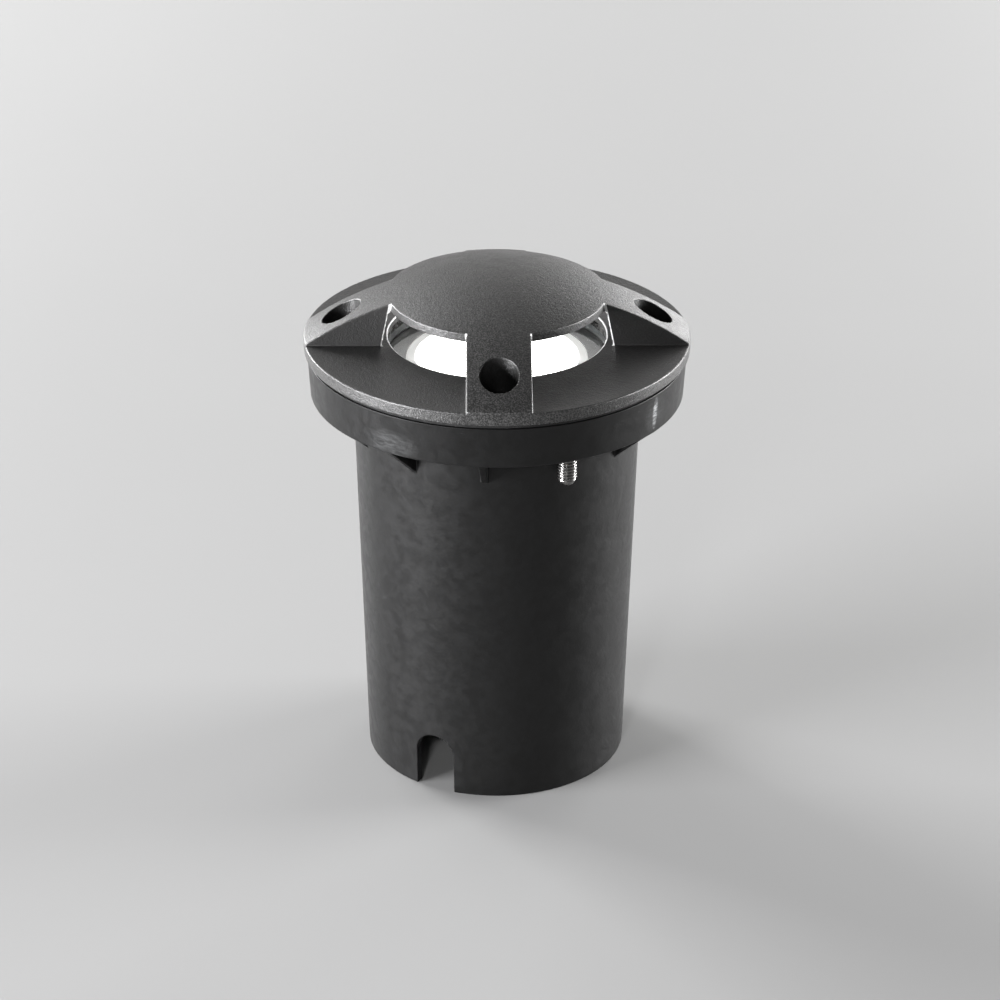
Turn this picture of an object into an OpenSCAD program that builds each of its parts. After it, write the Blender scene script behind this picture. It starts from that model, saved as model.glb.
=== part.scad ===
// In-ground well light: a domed four-legged guard over a glazed LED fixture,
// which hangs by its flange in a black moulded ground sleeve.
// Millimetres, +Z up. The origin is the centre of the sleeve's ground end.
// The front is -Y. Azimuths turn from the front towards +X.

/* [Sleeve] */
// Height of the tube, from its ground end to the underside of the collar
tube_h = 124.2; // [108:0.1:150]
// How much smaller the radius of the tube is at its ground end than under the collar
tube_taper = 3.6; // [1:0.1:4]
// Gap between the inside of the tube and the neck of the housing
neck_gap = 2.2; // [1.5:0.1:5]
// Wall of the tube and of the collar
sleeve_wall = 2.8; // [2:0.1:3]
// How far the upper edge of the collar stands in from the rim of the cover
collar_inset = 1; // [0:0.1:1.4]
// How much smaller the radius of the collar is at its lower edge
collar_flare = 0.8; // [0:0.1:1.2]
// Height of the collar
collar_h = 13.1; // [12.5:0.1:14.5]
// Thickness of the floor of the collar
collar_floor_t = 3.2; // [2.4:0.1:3.6]
// Depth of the rebate inside the upper edge of the collar
collar_rebate = 1.2; // [0.4:0.1:1.4]
// Number of rib places round the tube, two of them taken by the fixing screws
rib_places = 12; // [8:4:16]
// Azimuth of the first rib from the front
rib_start_angle = -5.3; // [-8:0.1:-3]
// Thickness of a rib
rib_t = 2.2; // [1.5:0.1:3]
// Height of a rib below the collar
rib_h = 11.6; // [8:0.1:14]
// Width of a cable notch in the ground end of the tube
notch_w = 13; // [9:0.5:16]
// Height of a cable notch, to the top of its arch
notch_h = 19.4; // [14:0.1:26]
// Azimuth of the front cable notch
notch_angle = -28.6; // [-40:0.1:-15]
// Number of cable notches, spread evenly round the tube
notch_count = 2; // [1:1:4]

/* [Guard cover] */
// Diameter of the guard cover
cover_d = 120; // [110:0.5:160]
// Height of the outer rim of the cover
rim_h = 4; // [3.4:0.1:5]
// Open gap between the collar and the rim, filled by the rim gasket
rim_gap = 1.3; // [1:0.1:1.8]
// Wall of the cover at the floor of its windows
cover_wall = 2.4; // [1.8:0.1:2.6]
// Radius of the sphere that the dome and the legs follow
dome_sphere_r = 102.5; // [92:0.5:120]
// Height of the foot of each leg above the rim
leg_step = 0.4; // [0:0.1:1]
// Ledge of the light opening inside the bore of the can, which the dome follows too
opening_ledge = 0.3; // [0:0.1:1]
// Wall of the dome
dome_wall = 2.6; // [2:0.1:3]
// Number of legs
leg_count = 4; // [4:1:4]
// Metal of a leg on each side of its screw well
leg_side = 3.9; // [2:0.1:6]
// Distance from the light opening to the inner faces of the legs at the floor of the windows
leg_inset = 3; // [1:0.1:3.4]
// Distance from the edge of the dome to the inner faces of the legs right under it
leg_top_inset = 0.8; // [0.4:0.1:1]
// Gap round the head of a cover screw in its well
well_gap = 0.65; // [0.3:0.05:1]
// Distance from the edge of the cover to its screws
cover_screw_inset = 11.8; // [11:0.1:14]
// Metal of a foot round its screw well
foot_wall = 1.4; // [1:0.1:2]
// How much of a foot is cut off flush with the flange, on the side of the collar
foot_trim = 0.6; // [0:0.1:0.8]
// Metal under the head of a cover screw
foot_web = 2.6; // [2:0.1:3]

/* [Screws] */
// Shank diameter of the cover and fixing screws
screw_d = 6; // [5:0.5:6]
// Head diameter of the cover and fixing screws
screw_head_d = 10.5; // [9:0.1:10.8]
// Head height of the cover and fixing screws
screw_head_h = 3.3; // [2.5:0.1:3.5]
// Length of a cover screw under its head
cover_screw_l = 10; // [8:0.1:10]
// Length of a fixing screw under its head
fixing_screw_l = 22; // [16:0.5:26]
// Distance from the edge of the flange to the fixing screws
fixing_screw_inset = 5.5; // [5:0.1:6]
// Shank diameter of the small screws
small_screw_d = 3; // [2.5:0.1:3]
// Head diameter of the small screws
small_head_d = 5.5; // [5:0.1:5.6]
// Head height of the small screws
small_head_h = 1.7; // [1.4:0.1:1.9]
// Length of a small screw
small_screw_l = 8; // [6:0.5:9]

/* [Glazing] */
// Thickness of the glass
glass_t = 6; // [4:0.1:8]
// Width of the ledge that the glass lies on
glass_ledge = 3.2; // [2.5:0.1:5]
// Thickness of the glass gasket
gasket_t = 1; // [0.8:0.1:1.4]
// Thickness of the clamp ring
clamp_t = 1.8; // [1.7:0.1:2]
// Gap between the light opening and the inner edge of the clamp ring
clamp_inset = 0.4; // [0:0.1:1]
// Distance from the glass seat to the clamp screws
clamp_screw_outset = 4.65; // [4.4:0.05:5]

/* [Fixture] */
// Gap between the edge of the flange and the wall of the collar
flange_gap = 0.7; // [0.4:0.1:1.4]
// Wall of the upstand round the glass seat
upstand_wall = 2.25; // [1.5:0.05:3]
// Wall of the housing can
can_wall = 3.2; // [2.4:0.1:4]
// Depth of the housing can below the flange
can_depth = 69.6; // [66:0.1:80]
// Thickness of the bottom of the housing can
can_floor_t = 4; // [3:0.1:5]
// Number of cooling fins on the can
fin_count = 20; // [12:2:28]
// Thickness of a cooling fin
fin_t = 1.8; // [1.2:0.1:2.4]
// Gap between the cooling fins and the inside of the tube at the bottom of the can
fin_gap = 1.1; // [0.6:0.1:2]
// Width of the bright bezel between the diffuser and the bore of the can
bezel_w = 6.5; // [5.5:0.1:9]
// Thickness of the opal diffuser
diffuser_t = 2; // [1.5:0.1:3]
// Height of the mixing chamber between the board and the diffuser
chamber_h = 11; // [8:0.5:14]
// Thickness of the LED board
board_t = 1.6; // [1:0.1:2]
// Thickness of the heat spreader
spreader_t = 5; // [4:0.1:6]
// Number of LEDs in the outer ring of the board
led_count = 12; // [6:1:14]
// Width of an LED
led_w = 3; // [2:0.1:3.5]
// Gap between the driver case and the bore of the can, wide enough for its ears and the shelf
driver_gap = 13.3; // [12.8:0.1:18]
// Height of the driver case
driver_h = 18; // [14:0.5:20]
// Width across the flats of the cable gland
gland_af = 22; // [20:0.5:24]
// Diameter of the cable that the gland is made for
cable_d = 7.5; // [5:0.1:8]

/* [Hidden] */

// Overrun of every cut past the face that it opens
cut = 1;
// Full turn, the step of four places and the tilt of a corner
turn = 360;
quarter = turn / 4;
// Gap between flat faces of pieces that lift apart
seat_gap = 0.2;
// Radial gap of a screw in its thread and of a screw in its clearance hole
thread_gap = 0.08;
hole_gap = 0.3;
// Radial gap of round pieces that drop into each other
drop_gap = 0.3;

// Widths, from the cover inwards to the diffuser and the driver
cover_r = cover_d / 2;
collar_top_d = cover_d - 2 * collar_inset;
collar_base_d = collar_top_d - 2 * collar_flare;
collar_wall_slope = collar_flare / collar_h;
floor_outer_r = collar_base_d / 2 - sleeve_wall + collar_wall_slope * collar_floor_t;
flange_d = 2 * (floor_outer_r - flange_gap);
fixing_screw_r = flange_d / 2 - fixing_screw_inset;
well_d = screw_head_d + 2 * well_gap;
foot_d = well_d + 2 * foot_wall;
leg_w = well_d + 2 * leg_side;
cover_screw_r = cover_r - cover_screw_inset;
upstand_d = 2 * (cover_screw_r - foot_d / 2 - drop_gap);
seat_bore_d = upstand_d - 2 * upstand_wall;
gasket_side_t = 0.7;
gasket_outer_d = seat_bore_d - drop_gap;
glass_d = gasket_outer_d - 2 * gasket_side_t;
can_bore_d = glass_d - 2 * glass_ledge;
can_d = can_bore_d + 2 * can_wall;
diffuser_d = can_bore_d - 2 * bezel_w;
driver_d = can_bore_d - 2 * driver_gap;
dome_d = can_bore_d - 2 * opening_ledge;
leg_inner_r = dome_d / 2 + leg_inset;
leg_inner_top_r = dome_d / 2 + leg_top_inset;
clamp_inner_d = dome_d + 2 * clamp_inset;
clamp_screw_r = seat_bore_d / 2 + clamp_screw_outset;
neck_wall = 5.7;
neck_d = can_bore_d + 2 * neck_wall;
neck_h = 9;
tube_top_d = neck_d + 2 * (neck_gap + sleeve_wall);
tube_base_d = tube_top_d - 2 * tube_taper;
tube_slope = tube_taper / tube_h;

// Heights of the stack, from the sleeve up to the cover
collar_floor_z = tube_h + collar_floor_t;
collar_top_z = tube_h + collar_h;
cover_base_z = collar_top_z + rim_gap;
window_z = cover_base_z + rim_h;
cover_under_z = window_z - cover_wall;
flange_base_z = collar_floor_z + seat_gap;
// Height of the feet below the rim of the cover
foot_h = 4;
flange_top_z = cover_base_z - foot_h;

// Glazing stack, hung from the underside of the cover
clamp_clearance = 0.4;
clamp_top_z = cover_under_z - clamp_clearance;
glass_top_z = clamp_top_z - clamp_t;
glass_base_z = glass_top_z - glass_t;
ledge_z = glass_base_z - gasket_t;
upstand_z = glass_top_z - seat_gap;
lug_d = 9;
lug_start_angle = quarter / 2;

// Sphere of the dome
sphere_drop = sqrt(pow(dome_sphere_r, 2) - pow(cover_r, 2));
sphere_z = window_z + leg_step - sphere_drop;
lip_z = sphere_z + sqrt(pow(dome_sphere_r - dome_wall, 2) - pow(dome_d / 2, 2));
rim_play = 1.7;
skirt_inner_d = flange_d + 2 * rim_play;
rim_chamfer = 0.5;

// Screws
foot_base_z = flange_top_z + seat_gap;
washer_t = 0.5;
washer_d = screw_head_d + drop_gap;
foot_edge_r = cover_screw_r + foot_d / 2 - foot_trim;
cover_seat_z = foot_base_z + foot_web;
cover_head_z = cover_seat_z + washer_t;
tap_d = screw_d + 2 * thread_gap;
clear_d = screw_d + 2 * hole_gap;
hex_sides = 6;
socket_share = 0.77;
socket_depth_share = 0.6;
crown_share = 0.6;
tip_chamfer_share = 0.12;
socket_d = socket_share * screw_d;
small_tap_d = small_screw_d + 2 * thread_gap;
small_clear_d = small_screw_d + 2 * hole_gap;
small_socket_d = socket_share * small_screw_d;
insert_wall = 1.6;
insert_d = tap_d + 2 * insert_wall;
insert_h = 6.4;
boss_wall = 2.4;
boss_d = insert_d + 2 * boss_wall;
boss_top_z = tube_h + insert_h;
rib_step = turn / rib_places;
fixing_angle = rib_start_angle + rib_step;
fixing_count = 2;

// Edges of the sleeve
rim_gasket_inset = 0.3;
rebate_r = collar_top_d / 2 - sleeve_wall + collar_rebate;
rebate_z = flange_top_z - seat_gap;
rebate_back_r = rebate_r - collar_rebate - collar_wall_slope * (collar_top_z - rebate_z);
rib_inset = 0.4;

// Fixture stack, hung below the glass
diffuser_drop = 0.8;
diffuser_top_z = glass_base_z - diffuser_drop;
diffuser_base_z = diffuser_top_z - diffuser_t;
board_top_z = diffuser_base_z - chamber_h;
board_base_z = board_top_z - board_t;
spreader_base_z = board_base_z - spreader_t;
shelf_t = 3;
shelf_w = 5.5;
can_base_z = flange_base_z - can_depth;
can_floor_z = can_base_z + can_floor_t;
fin_r = tube_base_d / 2 - sleeve_wall + tube_slope * can_base_z - fin_gap;
reflector_wall = 1.2;
reflector_d = can_bore_d - 2 * drop_gap;
reflector_lip = 0.9;
reflector_foot = 3;
chamber_d = diffuser_d - 2 * reflector_lip;
diffuser_play = 0.15;
board_d = chamber_d + 2 * reflector_foot;
spreader_d = reflector_d;
board_screw_r = diffuser_d / 2 - 2 * reflector_wall - small_head_d;
board_screw_count = 3;
board_screw_start = 15;
spreader_screw_r = can_bore_d / 2 - shelf_w / 2;
spreader_screw_count = 4;
led_h = 0.7;
led_ring_share = 0.34;
led_inner_count = 6;
led_inner_share = 0.08;

// Driver, its terminal block and the leads to the board
driver_stand_h = 7;
driver_base_z = can_floor_z + driver_stand_h;
driver_top_z = driver_base_z + driver_h;
driver_ear_t = 3;
driver_ear_w = 8;
driver_ear_r = (driver_d + small_head_d) / 2 + drop_gap;
driver_angles = [quarter, 3 * quarter];
driver_lid_t = 1.2;
driver_lid_inset = 1.5;
terminal_size = [20, 12, 9];
terminal_poles = 3;
terminal_pitch = terminal_size[0] / terminal_poles;
terminal_port_d = 3.4;
terminal_port_share = 0.33;
terminal_row_share = 0.25;
terminal_row_y = terminal_row_share * terminal_size[1];
terminal_screw_d = 3;
terminal_screw_h = 3.2;
terminal_top_z = driver_top_z + terminal_size[2];
lead_d = 1.6;
lead_y = -terminal_row_y;
lead_x = terminal_pitch;
lead_hole_d = lead_d + 2 * hole_gap;
solder_d = 2.6;
solder_h = 1.2;
lead_end_z = board_top_z + solder_h / 2;
lead_sunk = 4;
lead_start_z = terminal_top_z - lead_sunk;

// Cable gland
gland_corner_d = gland_af / cos(turn / 2 / hex_sides);
gland_flange_h = 4;
gland_thread_d = 16;
gland_bore_d = 12;
gland_washer_t = 1;
gland_flange_top_z = can_base_z - gland_washer_t;
gland_flange_base_z = gland_flange_top_z - gland_flange_h;
locknut_h = 4;
gland_inner_z = can_floor_z + locknut_h + cut;
gland_skirt_h = 9;
gland_skirt_base_z = gland_flange_base_z - gland_skirt_h;
gland_nut_gap = 1;
gland_nut_top_z = gland_flange_base_z - gland_nut_gap;
gland_nut_h = 13;
gland_nut_base_z = gland_nut_top_z - gland_nut_h;
gland_nut_wall = 2;
gland_seal_h = 9;
gland_seal_base_z = gland_nut_base_z + gland_nut_wall;
cable_play = 0.25;
cable_bore_d = cable_d + 2 * cable_play;
gland_mouth_d = cable_bore_d + 4 * cable_play;

// A round piece of the given diameter between two heights
module disc(d, z0, z1) {
  translate([0, 0, z0]) cylinder(d = d, h = z1 - z0, $fn = 96);
}

// A round hole from just below the lower height to just above the upper one
module hole(d, z0, z1) {
  disc(d, z0 - cut, z1 + cut);
}

// A ring between two diameters and two heights
module ring(outer_d, inner_d, z0, z1) {
  difference() {
    disc(outer_d, z0, z1);
    hole(inner_d, z0, z1);
  }
}

// Children set out on a circle, one for each angle in the list
module set_out(r, angles) {
  for (a = angles) rotate([0, 0, a]) translate([0, -r, 0]) children();
}

// A ring of evenly spaced angles
function spread(count, start) = [for (i = [0 : count - 1]) start + i * turn / count];

leg_angles = spread(leg_count, 0);
lug_angles = spread(leg_count, lug_start_angle);
fixing_angles = spread(fixing_count, fixing_angle);
rib_angles = [for (i = [0 : rib_places - 1]) if (i % (rib_places / fixing_count) != 1)
              rib_start_angle + i * rib_step];

// A screw with a low round head and a hexagon socket, its head seated at z
module button_screw(d, head_d, head_h, l, key_d, z) {
  crown_d = head_d * crown_share;
  tip_h = d * tip_chamfer_share;
  difference() {
    union() {
      translate([0, 0, z]) cylinder(d1 = head_d, d2 = crown_d, h = head_h, $fn = 48);
      disc(d, z - l + tip_h, z + head_h / 2);
      translate([0, 0, z - l]) cylinder(d1 = d - 2 * tip_h, d2 = d, h = tip_h, $fn = 48);
    }
    translate([0, 0, z + head_h * (1 - socket_depth_share)])
      cylinder(d = key_d, h = head_h, $fn = hex_sides);
  }
}

// A screw with a countersunk head and a hexagon socket, its top face at z
module flat_screw(z) {
  difference() {
    union() {
      translate([0, 0, z - small_head_h])
        cylinder(d1 = small_screw_d, d2 = small_head_d, h = small_head_h, $fn = 48);
      disc(small_screw_d, z - small_screw_l, z - small_head_h / 2);
    }
    translate([0, 0, z - small_head_h * socket_depth_share])
      cylinder(d = small_socket_d, h = small_head_h, $fn = hex_sides);
  }
}

// The cut that a countersunk screw needs, from its top face at z down through a plate
module flat_screw_cut(z, depth) {
  translate([0, 0, z - small_head_h])
    cylinder(d1 = small_clear_d, d2 = small_head_d + 2 * thread_gap, h = small_head_h, $fn = 48);
  hole(small_clear_d, z - depth, z - small_head_h);
  disc(small_head_d + 2 * thread_gap, z - seat_gap / 2, z + cut);
}

// Moulded ground sleeve: tapered tube, collar trough, ribs, screw bosses and cable notches
module sleeve() {
  color("#26272a") difference() {
    union() {
      rotate_extrude($fn = 128) polygon([
        [tube_base_d / 2 - sleeve_wall, 0],
        [tube_base_d / 2, 0],
        [tube_top_d / 2, tube_h],
        [collar_base_d / 2, tube_h],
        [collar_top_d / 2, collar_top_z],
        [rebate_r, collar_top_z],
        [rebate_r, rebate_z],
        [rebate_back_r, rebate_z],
        [floor_outer_r, collar_floor_z],
        [tube_top_d / 2 - sleeve_wall, collar_floor_z]]);
      for (a = rib_angles) rotate([0, 0, a]) sleeve_rib();
      set_out(fixing_screw_r, fixing_angles) disc(boss_d, collar_floor_z - cut, boss_top_z);
    }
    set_out(fixing_screw_r, fixing_angles) hole(insert_d, tube_h, boss_top_z);
    for (a = spread(notch_count, notch_angle)) rotate([0, 0, a]) cable_notch();
  }
}

// Triangular rib from the tube out to the lower edge of the collar
module sleeve_rib() {
  foot_r = tube_top_d / 2 - tube_slope * rib_h - sleeve_wall / 2;
  tip_r = tube_top_d / 2 - tube_slope * rib_h;
  translate([-rib_t / 2, 0, 0]) rotate([quarter, 0, quarter]) linear_extrude(rib_t) polygon([
    [-foot_r, tube_h - rib_h],
    [-tip_r, tube_h - rib_h],
    [rib_inset - collar_base_d / 2, tube_h],
    [rib_inset - collar_base_d / 2, tube_h + rib_inset],
    [-foot_r, tube_h + rib_inset]]);
}

// Arched notch through the front wall of the tube
module cable_notch() {
  depth = 2 * sleeve_wall + notch_w / 2;
  translate([-notch_w / 2, -tube_base_d / 2 - sleeve_wall, -cut])
    cube([notch_w, depth, notch_h - notch_w / 2 + cut]);
  translate([0, -tube_base_d / 2 - sleeve_wall, notch_h - notch_w / 2])
    rotate([-quarter, 0, 0]) cylinder(d = notch_w, h = depth, $fn = 64);
}

// Threaded brass inserts in the bosses of the collar
module sleeve_inserts() {
  color("#b08d3e") set_out(fixing_screw_r, fixing_angles) ring(insert_d, tap_d, tube_h, boss_top_z);
}

// Rubber ring on the edge of the collar, seen as the dark gap under the rim
module rim_gasket() {
  outer_d = collar_top_d - 2 * rim_gasket_inset;
  color("#0c0c0d") ring(outer_d, 2 * (rebate_r + rim_gasket_inset), collar_top_z,
                        cover_base_z - seat_gap);
}

// Die-cast housing: flange, glass seat, clamp lugs, finned can with its shelf and floor
module housing() {
  color("#5c5e61") difference() {
    union() {
      disc(flange_d, flange_base_z, flange_top_z);
      disc(upstand_d, flange_top_z - cut, upstand_z);
      set_out(clamp_screw_r, lug_angles) disc(lug_d, flange_top_z - cut, upstand_z);
      disc(neck_d, flange_base_z - neck_h, flange_base_z + cut);
      disc(can_d, can_base_z, flange_base_z + cut);
      for (a = spread(fin_count, turn / fin_count / 2)) rotate([0, 0, a]) can_fin();
    }
    hole(seat_bore_d, ledge_z + cut, upstand_z);
    hole(can_bore_d, spreader_base_z + cut, ledge_z);
    hole(can_bore_d - 2 * shelf_w, spreader_base_z - shelf_t, spreader_base_z);
    disc(can_bore_d, can_floor_z, spreader_base_z - shelf_t);
    hole(gland_thread_d + 2 * thread_gap, can_base_z, can_floor_z);
    set_out(cover_screw_r, leg_angles) hole(tap_d, flange_base_z, flange_top_z);
    set_out(fixing_screw_r, fixing_angles) {
      hole(clear_d, flange_base_z, flange_top_z);
      disc(boss_d + 2 * drop_gap, flange_base_z - cut, boss_top_z + seat_gap);
    }
    set_out(clamp_screw_r, lug_angles)
      disc(small_tap_d, clamp_top_z - small_screw_l - seat_gap, upstand_z + cut);
    set_out(spreader_screw_r, spread(spreader_screw_count, lug_start_angle))
      hole(small_tap_d, spreader_base_z - shelf_t, spreader_base_z);
  }
  color("#5c5e61") set_out(driver_ear_r, driver_angles) driver_stand();
}

// Cooling fin down the outside of the can
module can_fin() {
  translate([-fin_t / 2, -fin_r, can_base_z])
    cube([fin_t, fin_r - can_d / 2 + cut, flange_base_z - neck_h - can_base_z + cut]);
}

// Tapped stand on the floor of the can that carries an ear of the driver
module driver_stand() {
  difference() {
    disc(driver_ear_w, can_floor_z - can_floor_t / 2, driver_base_z);
    disc(small_tap_d, can_floor_z, driver_base_z + cut);
  }
}

// Two screws that hold the flange down in the collar
module fixing_screws() {
  color("#9b9c9e") set_out(fixing_screw_r, fixing_angles)
    button_screw(screw_d, screw_head_d, screw_head_h, fixing_screw_l, socket_d, flange_top_z);
}

// Silicone gasket under and round the glass
module glass_gasket() {
  color("#c9cbcc") {
    difference() {
      disc(gasket_outer_d, ledge_z, glass_top_z - gasket_t);
      hole(can_bore_d, ledge_z, glass_base_z);
      disc(glass_d, glass_base_z, glass_top_z + cut);
    }
  }
}

// Toughened clear glass
module glass_lens() {
  color("#d8e6e4", 0.35) disc(glass_d, glass_base_z, glass_top_z);
}

// Stainless ring with four lugs that clamps the glass
module clamp_ring() {
  color("#b9bbbd") difference() {
    union() {
      disc(upstand_d, glass_top_z, clamp_top_z);
      set_out(clamp_screw_r, lug_angles) disc(lug_d, glass_top_z, clamp_top_z);
    }
    hole(clamp_inner_d, glass_top_z, clamp_top_z);
    set_out(clamp_screw_r, lug_angles) flat_screw_cut(clamp_top_z, clamp_t);
  }
}

// Countersunk screws of the clamp ring
module clamp_screws() {
  color("#a7a8aa") set_out(clamp_screw_r, lug_angles) flat_screw(clamp_top_z);
}

// Polished reflector: flat bezel round the diffuser and the wall of the mixing chamber
module reflector() {
  wall_d = chamber_d + 2 * reflector_wall;
  seat_d = diffuser_d + 2 * diffuser_play;
  color("#d3d4d6") difference() {
    union() {
      disc(reflector_d, diffuser_top_z - reflector_wall, diffuser_top_z);
      disc(seat_d + 2 * reflector_wall, diffuser_base_z - reflector_wall, diffuser_top_z);
      disc(wall_d, board_top_z, diffuser_base_z);
    }
    hole(chamber_d, board_top_z, diffuser_base_z);
    disc(seat_d, diffuser_base_z, diffuser_top_z + cut);
  }
}

// Opal diffuser, seen as the glowing disc
module diffuser() {
  color("#f4f4f2") disc(diffuser_d, diffuser_base_z, diffuser_top_z);
}

// Round metal-core LED board
module led_board() {
  color("#e8e9e6") difference() {
    disc(board_d, board_base_z, board_top_z);
    set_out(board_screw_r, spread(board_screw_count, board_screw_start))
      hole(small_clear_d, board_base_z, board_top_z);
    for (s = [-1, 1]) translate([s * lead_x, lead_y, 0])
      hole(lead_hole_d, board_base_z, board_top_z);
  }
}

// LED packages in two rings on the board
module led_chips() {
  color("#f2d75a") {
    set_out(led_ring_share * board_d, spread(led_count, 0)) led_chip();
    set_out(led_inner_share * board_d, spread(led_inner_count, turn / 2 / led_inner_count)) led_chip();
  }
}

// One LED package
module led_chip() {
  translate([-led_w / 2, -led_w / 2, board_top_z]) cube([led_w, led_w, led_h]);
}

// Round-headed screws of the LED board
module board_screws() {
  color("#a7a8aa") set_out(board_screw_r, spread(board_screw_count, board_screw_start))
    button_screw(small_screw_d, small_head_d, small_head_h, board_t + spreader_t / 2, small_socket_d,
                 board_top_z);
}

// Aluminium plate that takes the heat of the board into the can
module heat_spreader() {
  color("#8f9295") difference() {
    disc(spreader_d, spreader_base_z, board_base_z);
    set_out(board_screw_r, spread(board_screw_count, board_screw_start))
      disc(small_tap_d, board_base_z - spreader_t / 2 - seat_gap, board_base_z + cut);
    set_out(spreader_screw_r, spread(spreader_screw_count, lug_start_angle))
      flat_screw_cut(board_base_z, spreader_t);
    for (s = [-1, 1]) translate([s * lead_x, lead_y, 0])
      hole(lead_hole_d, spreader_base_z, board_base_z);
  }
}

// Countersunk screws of the heat spreader
module spreader_screws() {
  color("#a7a8aa") set_out(spreader_screw_r, spread(spreader_screw_count, lug_start_angle))
    flat_screw(board_base_z);
}

// Two insulated leads from the terminal block up to the solder points of the board
module led_leads() {
  color("#b3261e") for (s = [-1, 1]) translate([s * lead_x, lead_y, 0]) {
    disc(lead_d, lead_start_z, lead_end_z);
    translate([0, 0, board_top_z]) cylinder(d1 = solder_d, d2 = lead_d, h = solder_h, $fn = 32);
  }
}

// Potted driver with two ears and a lid line
module driver_case() {
  color("#33363a") difference() {
    union() {
      disc(driver_d, driver_base_z, driver_top_z - driver_lid_t);
      disc(driver_d - 2 * driver_lid_inset, driver_top_z - 2 * driver_lid_t, driver_top_z);
      set_out(driver_ear_r, driver_angles)
        disc(driver_ear_w, driver_base_z, driver_base_z + driver_ear_t);
    }
    set_out(driver_ear_r, driver_angles)
      hole(small_clear_d, driver_base_z, driver_base_z + driver_ear_t);
  }
}

// Screws that hold the ears of the driver
module driver_screws() {
  color("#a7a8aa") set_out(driver_ear_r, driver_angles)
    button_screw(small_screw_d, small_head_d, small_head_h, small_screw_l, small_socket_d,
                 driver_base_z + driver_ear_t);
}

// Three-pole terminal block on the driver
module terminal_block() {
  poles = [for (i = [0 : terminal_poles - 1]) (i - (terminal_poles - 1) / 2) * terminal_pitch];
  color("#e4e3dc") difference() {
    translate([-terminal_size[0] / 2, -terminal_size[1] / 2, driver_top_z]) cube(terminal_size);
    for (x = poles) {
      translate([x, terminal_row_y, 0])
        disc(terminal_screw_d + 2 * hole_gap, terminal_top_z - terminal_screw_h - seat_gap,
             terminal_top_z + cut);
      translate([x, terminal_size[1] / 2 + cut, driver_top_z + terminal_port_share * terminal_size[2]])
        rotate([quarter, 0, 0])
        cylinder(d = terminal_port_d, h = terminal_port_share * terminal_size[1] + cut, $fn = 32);
    }
    for (s = [-1, 1]) translate([s * lead_x, lead_y, 0])
      disc(lead_hole_d, lead_start_z, terminal_top_z + cut);
  }
}

// Clamping screws of the terminal block
module terminal_screws() {
  poles = [for (i = [0 : terminal_poles - 1]) (i - (terminal_poles - 1) / 2) * terminal_pitch];
  color("#c2c4c6") for (x = poles) translate([x, terminal_row_y, 0])
    difference() {
      disc(terminal_screw_d, terminal_top_z - terminal_screw_h - seat_gap,
           terminal_top_z - seat_gap);
      translate([-terminal_screw_d, -hole_gap, terminal_top_z - terminal_screw_h / 2])
        cube([2 * terminal_screw_d, 2 * hole_gap, terminal_screw_h]);
    }
}

// Body of the cable gland, through the floor of the can
module gland_body() {
  color("#3a3c3e") difference() {
    union() {
      translate([0, 0, gland_flange_base_z])
        cylinder(d = gland_corner_d, h = gland_flange_h, $fn = hex_sides);
      disc(gland_thread_d, gland_skirt_base_z, gland_inner_z);
    }
    hole(gland_bore_d, gland_skirt_base_z, gland_inner_z);
  }
}

// Flat sealing washer between the gland and the can
module gland_washer() {
  color("#151516") ring(gland_af, gland_thread_d + 2 * thread_gap, gland_flange_top_z, can_base_z);
}

// Locknut of the gland inside the can
module gland_locknut() {
  color("#3a3c3e") difference() {
    translate([0, 0, can_floor_z]) cylinder(d = gland_corner_d, h = locknut_h, $fn = hex_sides);
    hole(gland_thread_d + 2 * thread_gap, can_floor_z, can_floor_z + locknut_h);
  }
}

// Rubber seal that grips the cable inside the gland
module gland_seal() {
  color("#101011") ring(gland_bore_d - 2 * thread_gap, cable_bore_d, gland_seal_base_z,
                        gland_seal_base_z + gland_seal_h);
}

// Compression nut of the gland
module gland_nut() {
  color("#3a3c3e") difference() {
    translate([0, 0, gland_nut_base_z]) cylinder(d = gland_corner_d, h = gland_nut_h, $fn = hex_sides);
    disc(gland_thread_d + 2 * thread_gap, gland_nut_base_z + gland_nut_wall, gland_nut_top_z + cut);
    hole(gland_mouth_d, gland_nut_base_z, gland_nut_base_z + gland_nut_wall);
  }
}

// Solid ball of the dome, cut to the part above a height
module dome_ball(r, z0, d) {
  intersection() {
    translate([0, 0, sphere_z]) sphere(r = r, $fn = 128);
    disc(d, z0, sphere_z + dome_sphere_r + cut);
  }
}

// Cast guard: rim and window floor, four sloping legs, dome, feet and screw wells
module guard_cover() {
  color("#47484a") difference() {
    union() {
      cover_plate();
      cover_legs();
      difference() {
        dome_ball(dome_sphere_r, window_z + rim_h, dome_d);
        dome_ball(dome_sphere_r - dome_wall, window_z, dome_d + 2 * cut);
      }
      intersection() {
        set_out(cover_screw_r, leg_angles) disc(foot_d, foot_base_z, window_z - cover_wall / 2);
        disc(2 * foot_edge_r, foot_base_z - cut, window_z);
      }
    }
    disc(dome_d, cover_under_z - cut, window_z);
    set_out(cover_screw_r, leg_angles) {
      disc(well_d, cover_seat_z, sphere_z + dome_sphere_r);
      hole(clear_d, foot_base_z, cover_seat_z);
    }
  }
}

// Floor of the windows with its opening and the outer rim
module cover_plate() {
  rotate_extrude($fn = 128) polygon([
    [dome_d / 2, cover_under_z],
    [skirt_inner_d / 2, cover_under_z],
    [skirt_inner_d / 2, cover_base_z],
    [cover_r - rim_chamfer, cover_base_z],
    [cover_r, cover_base_z + rim_chamfer],
    [cover_r, window_z],
    [dome_d / 2, window_z]]);
}

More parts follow.
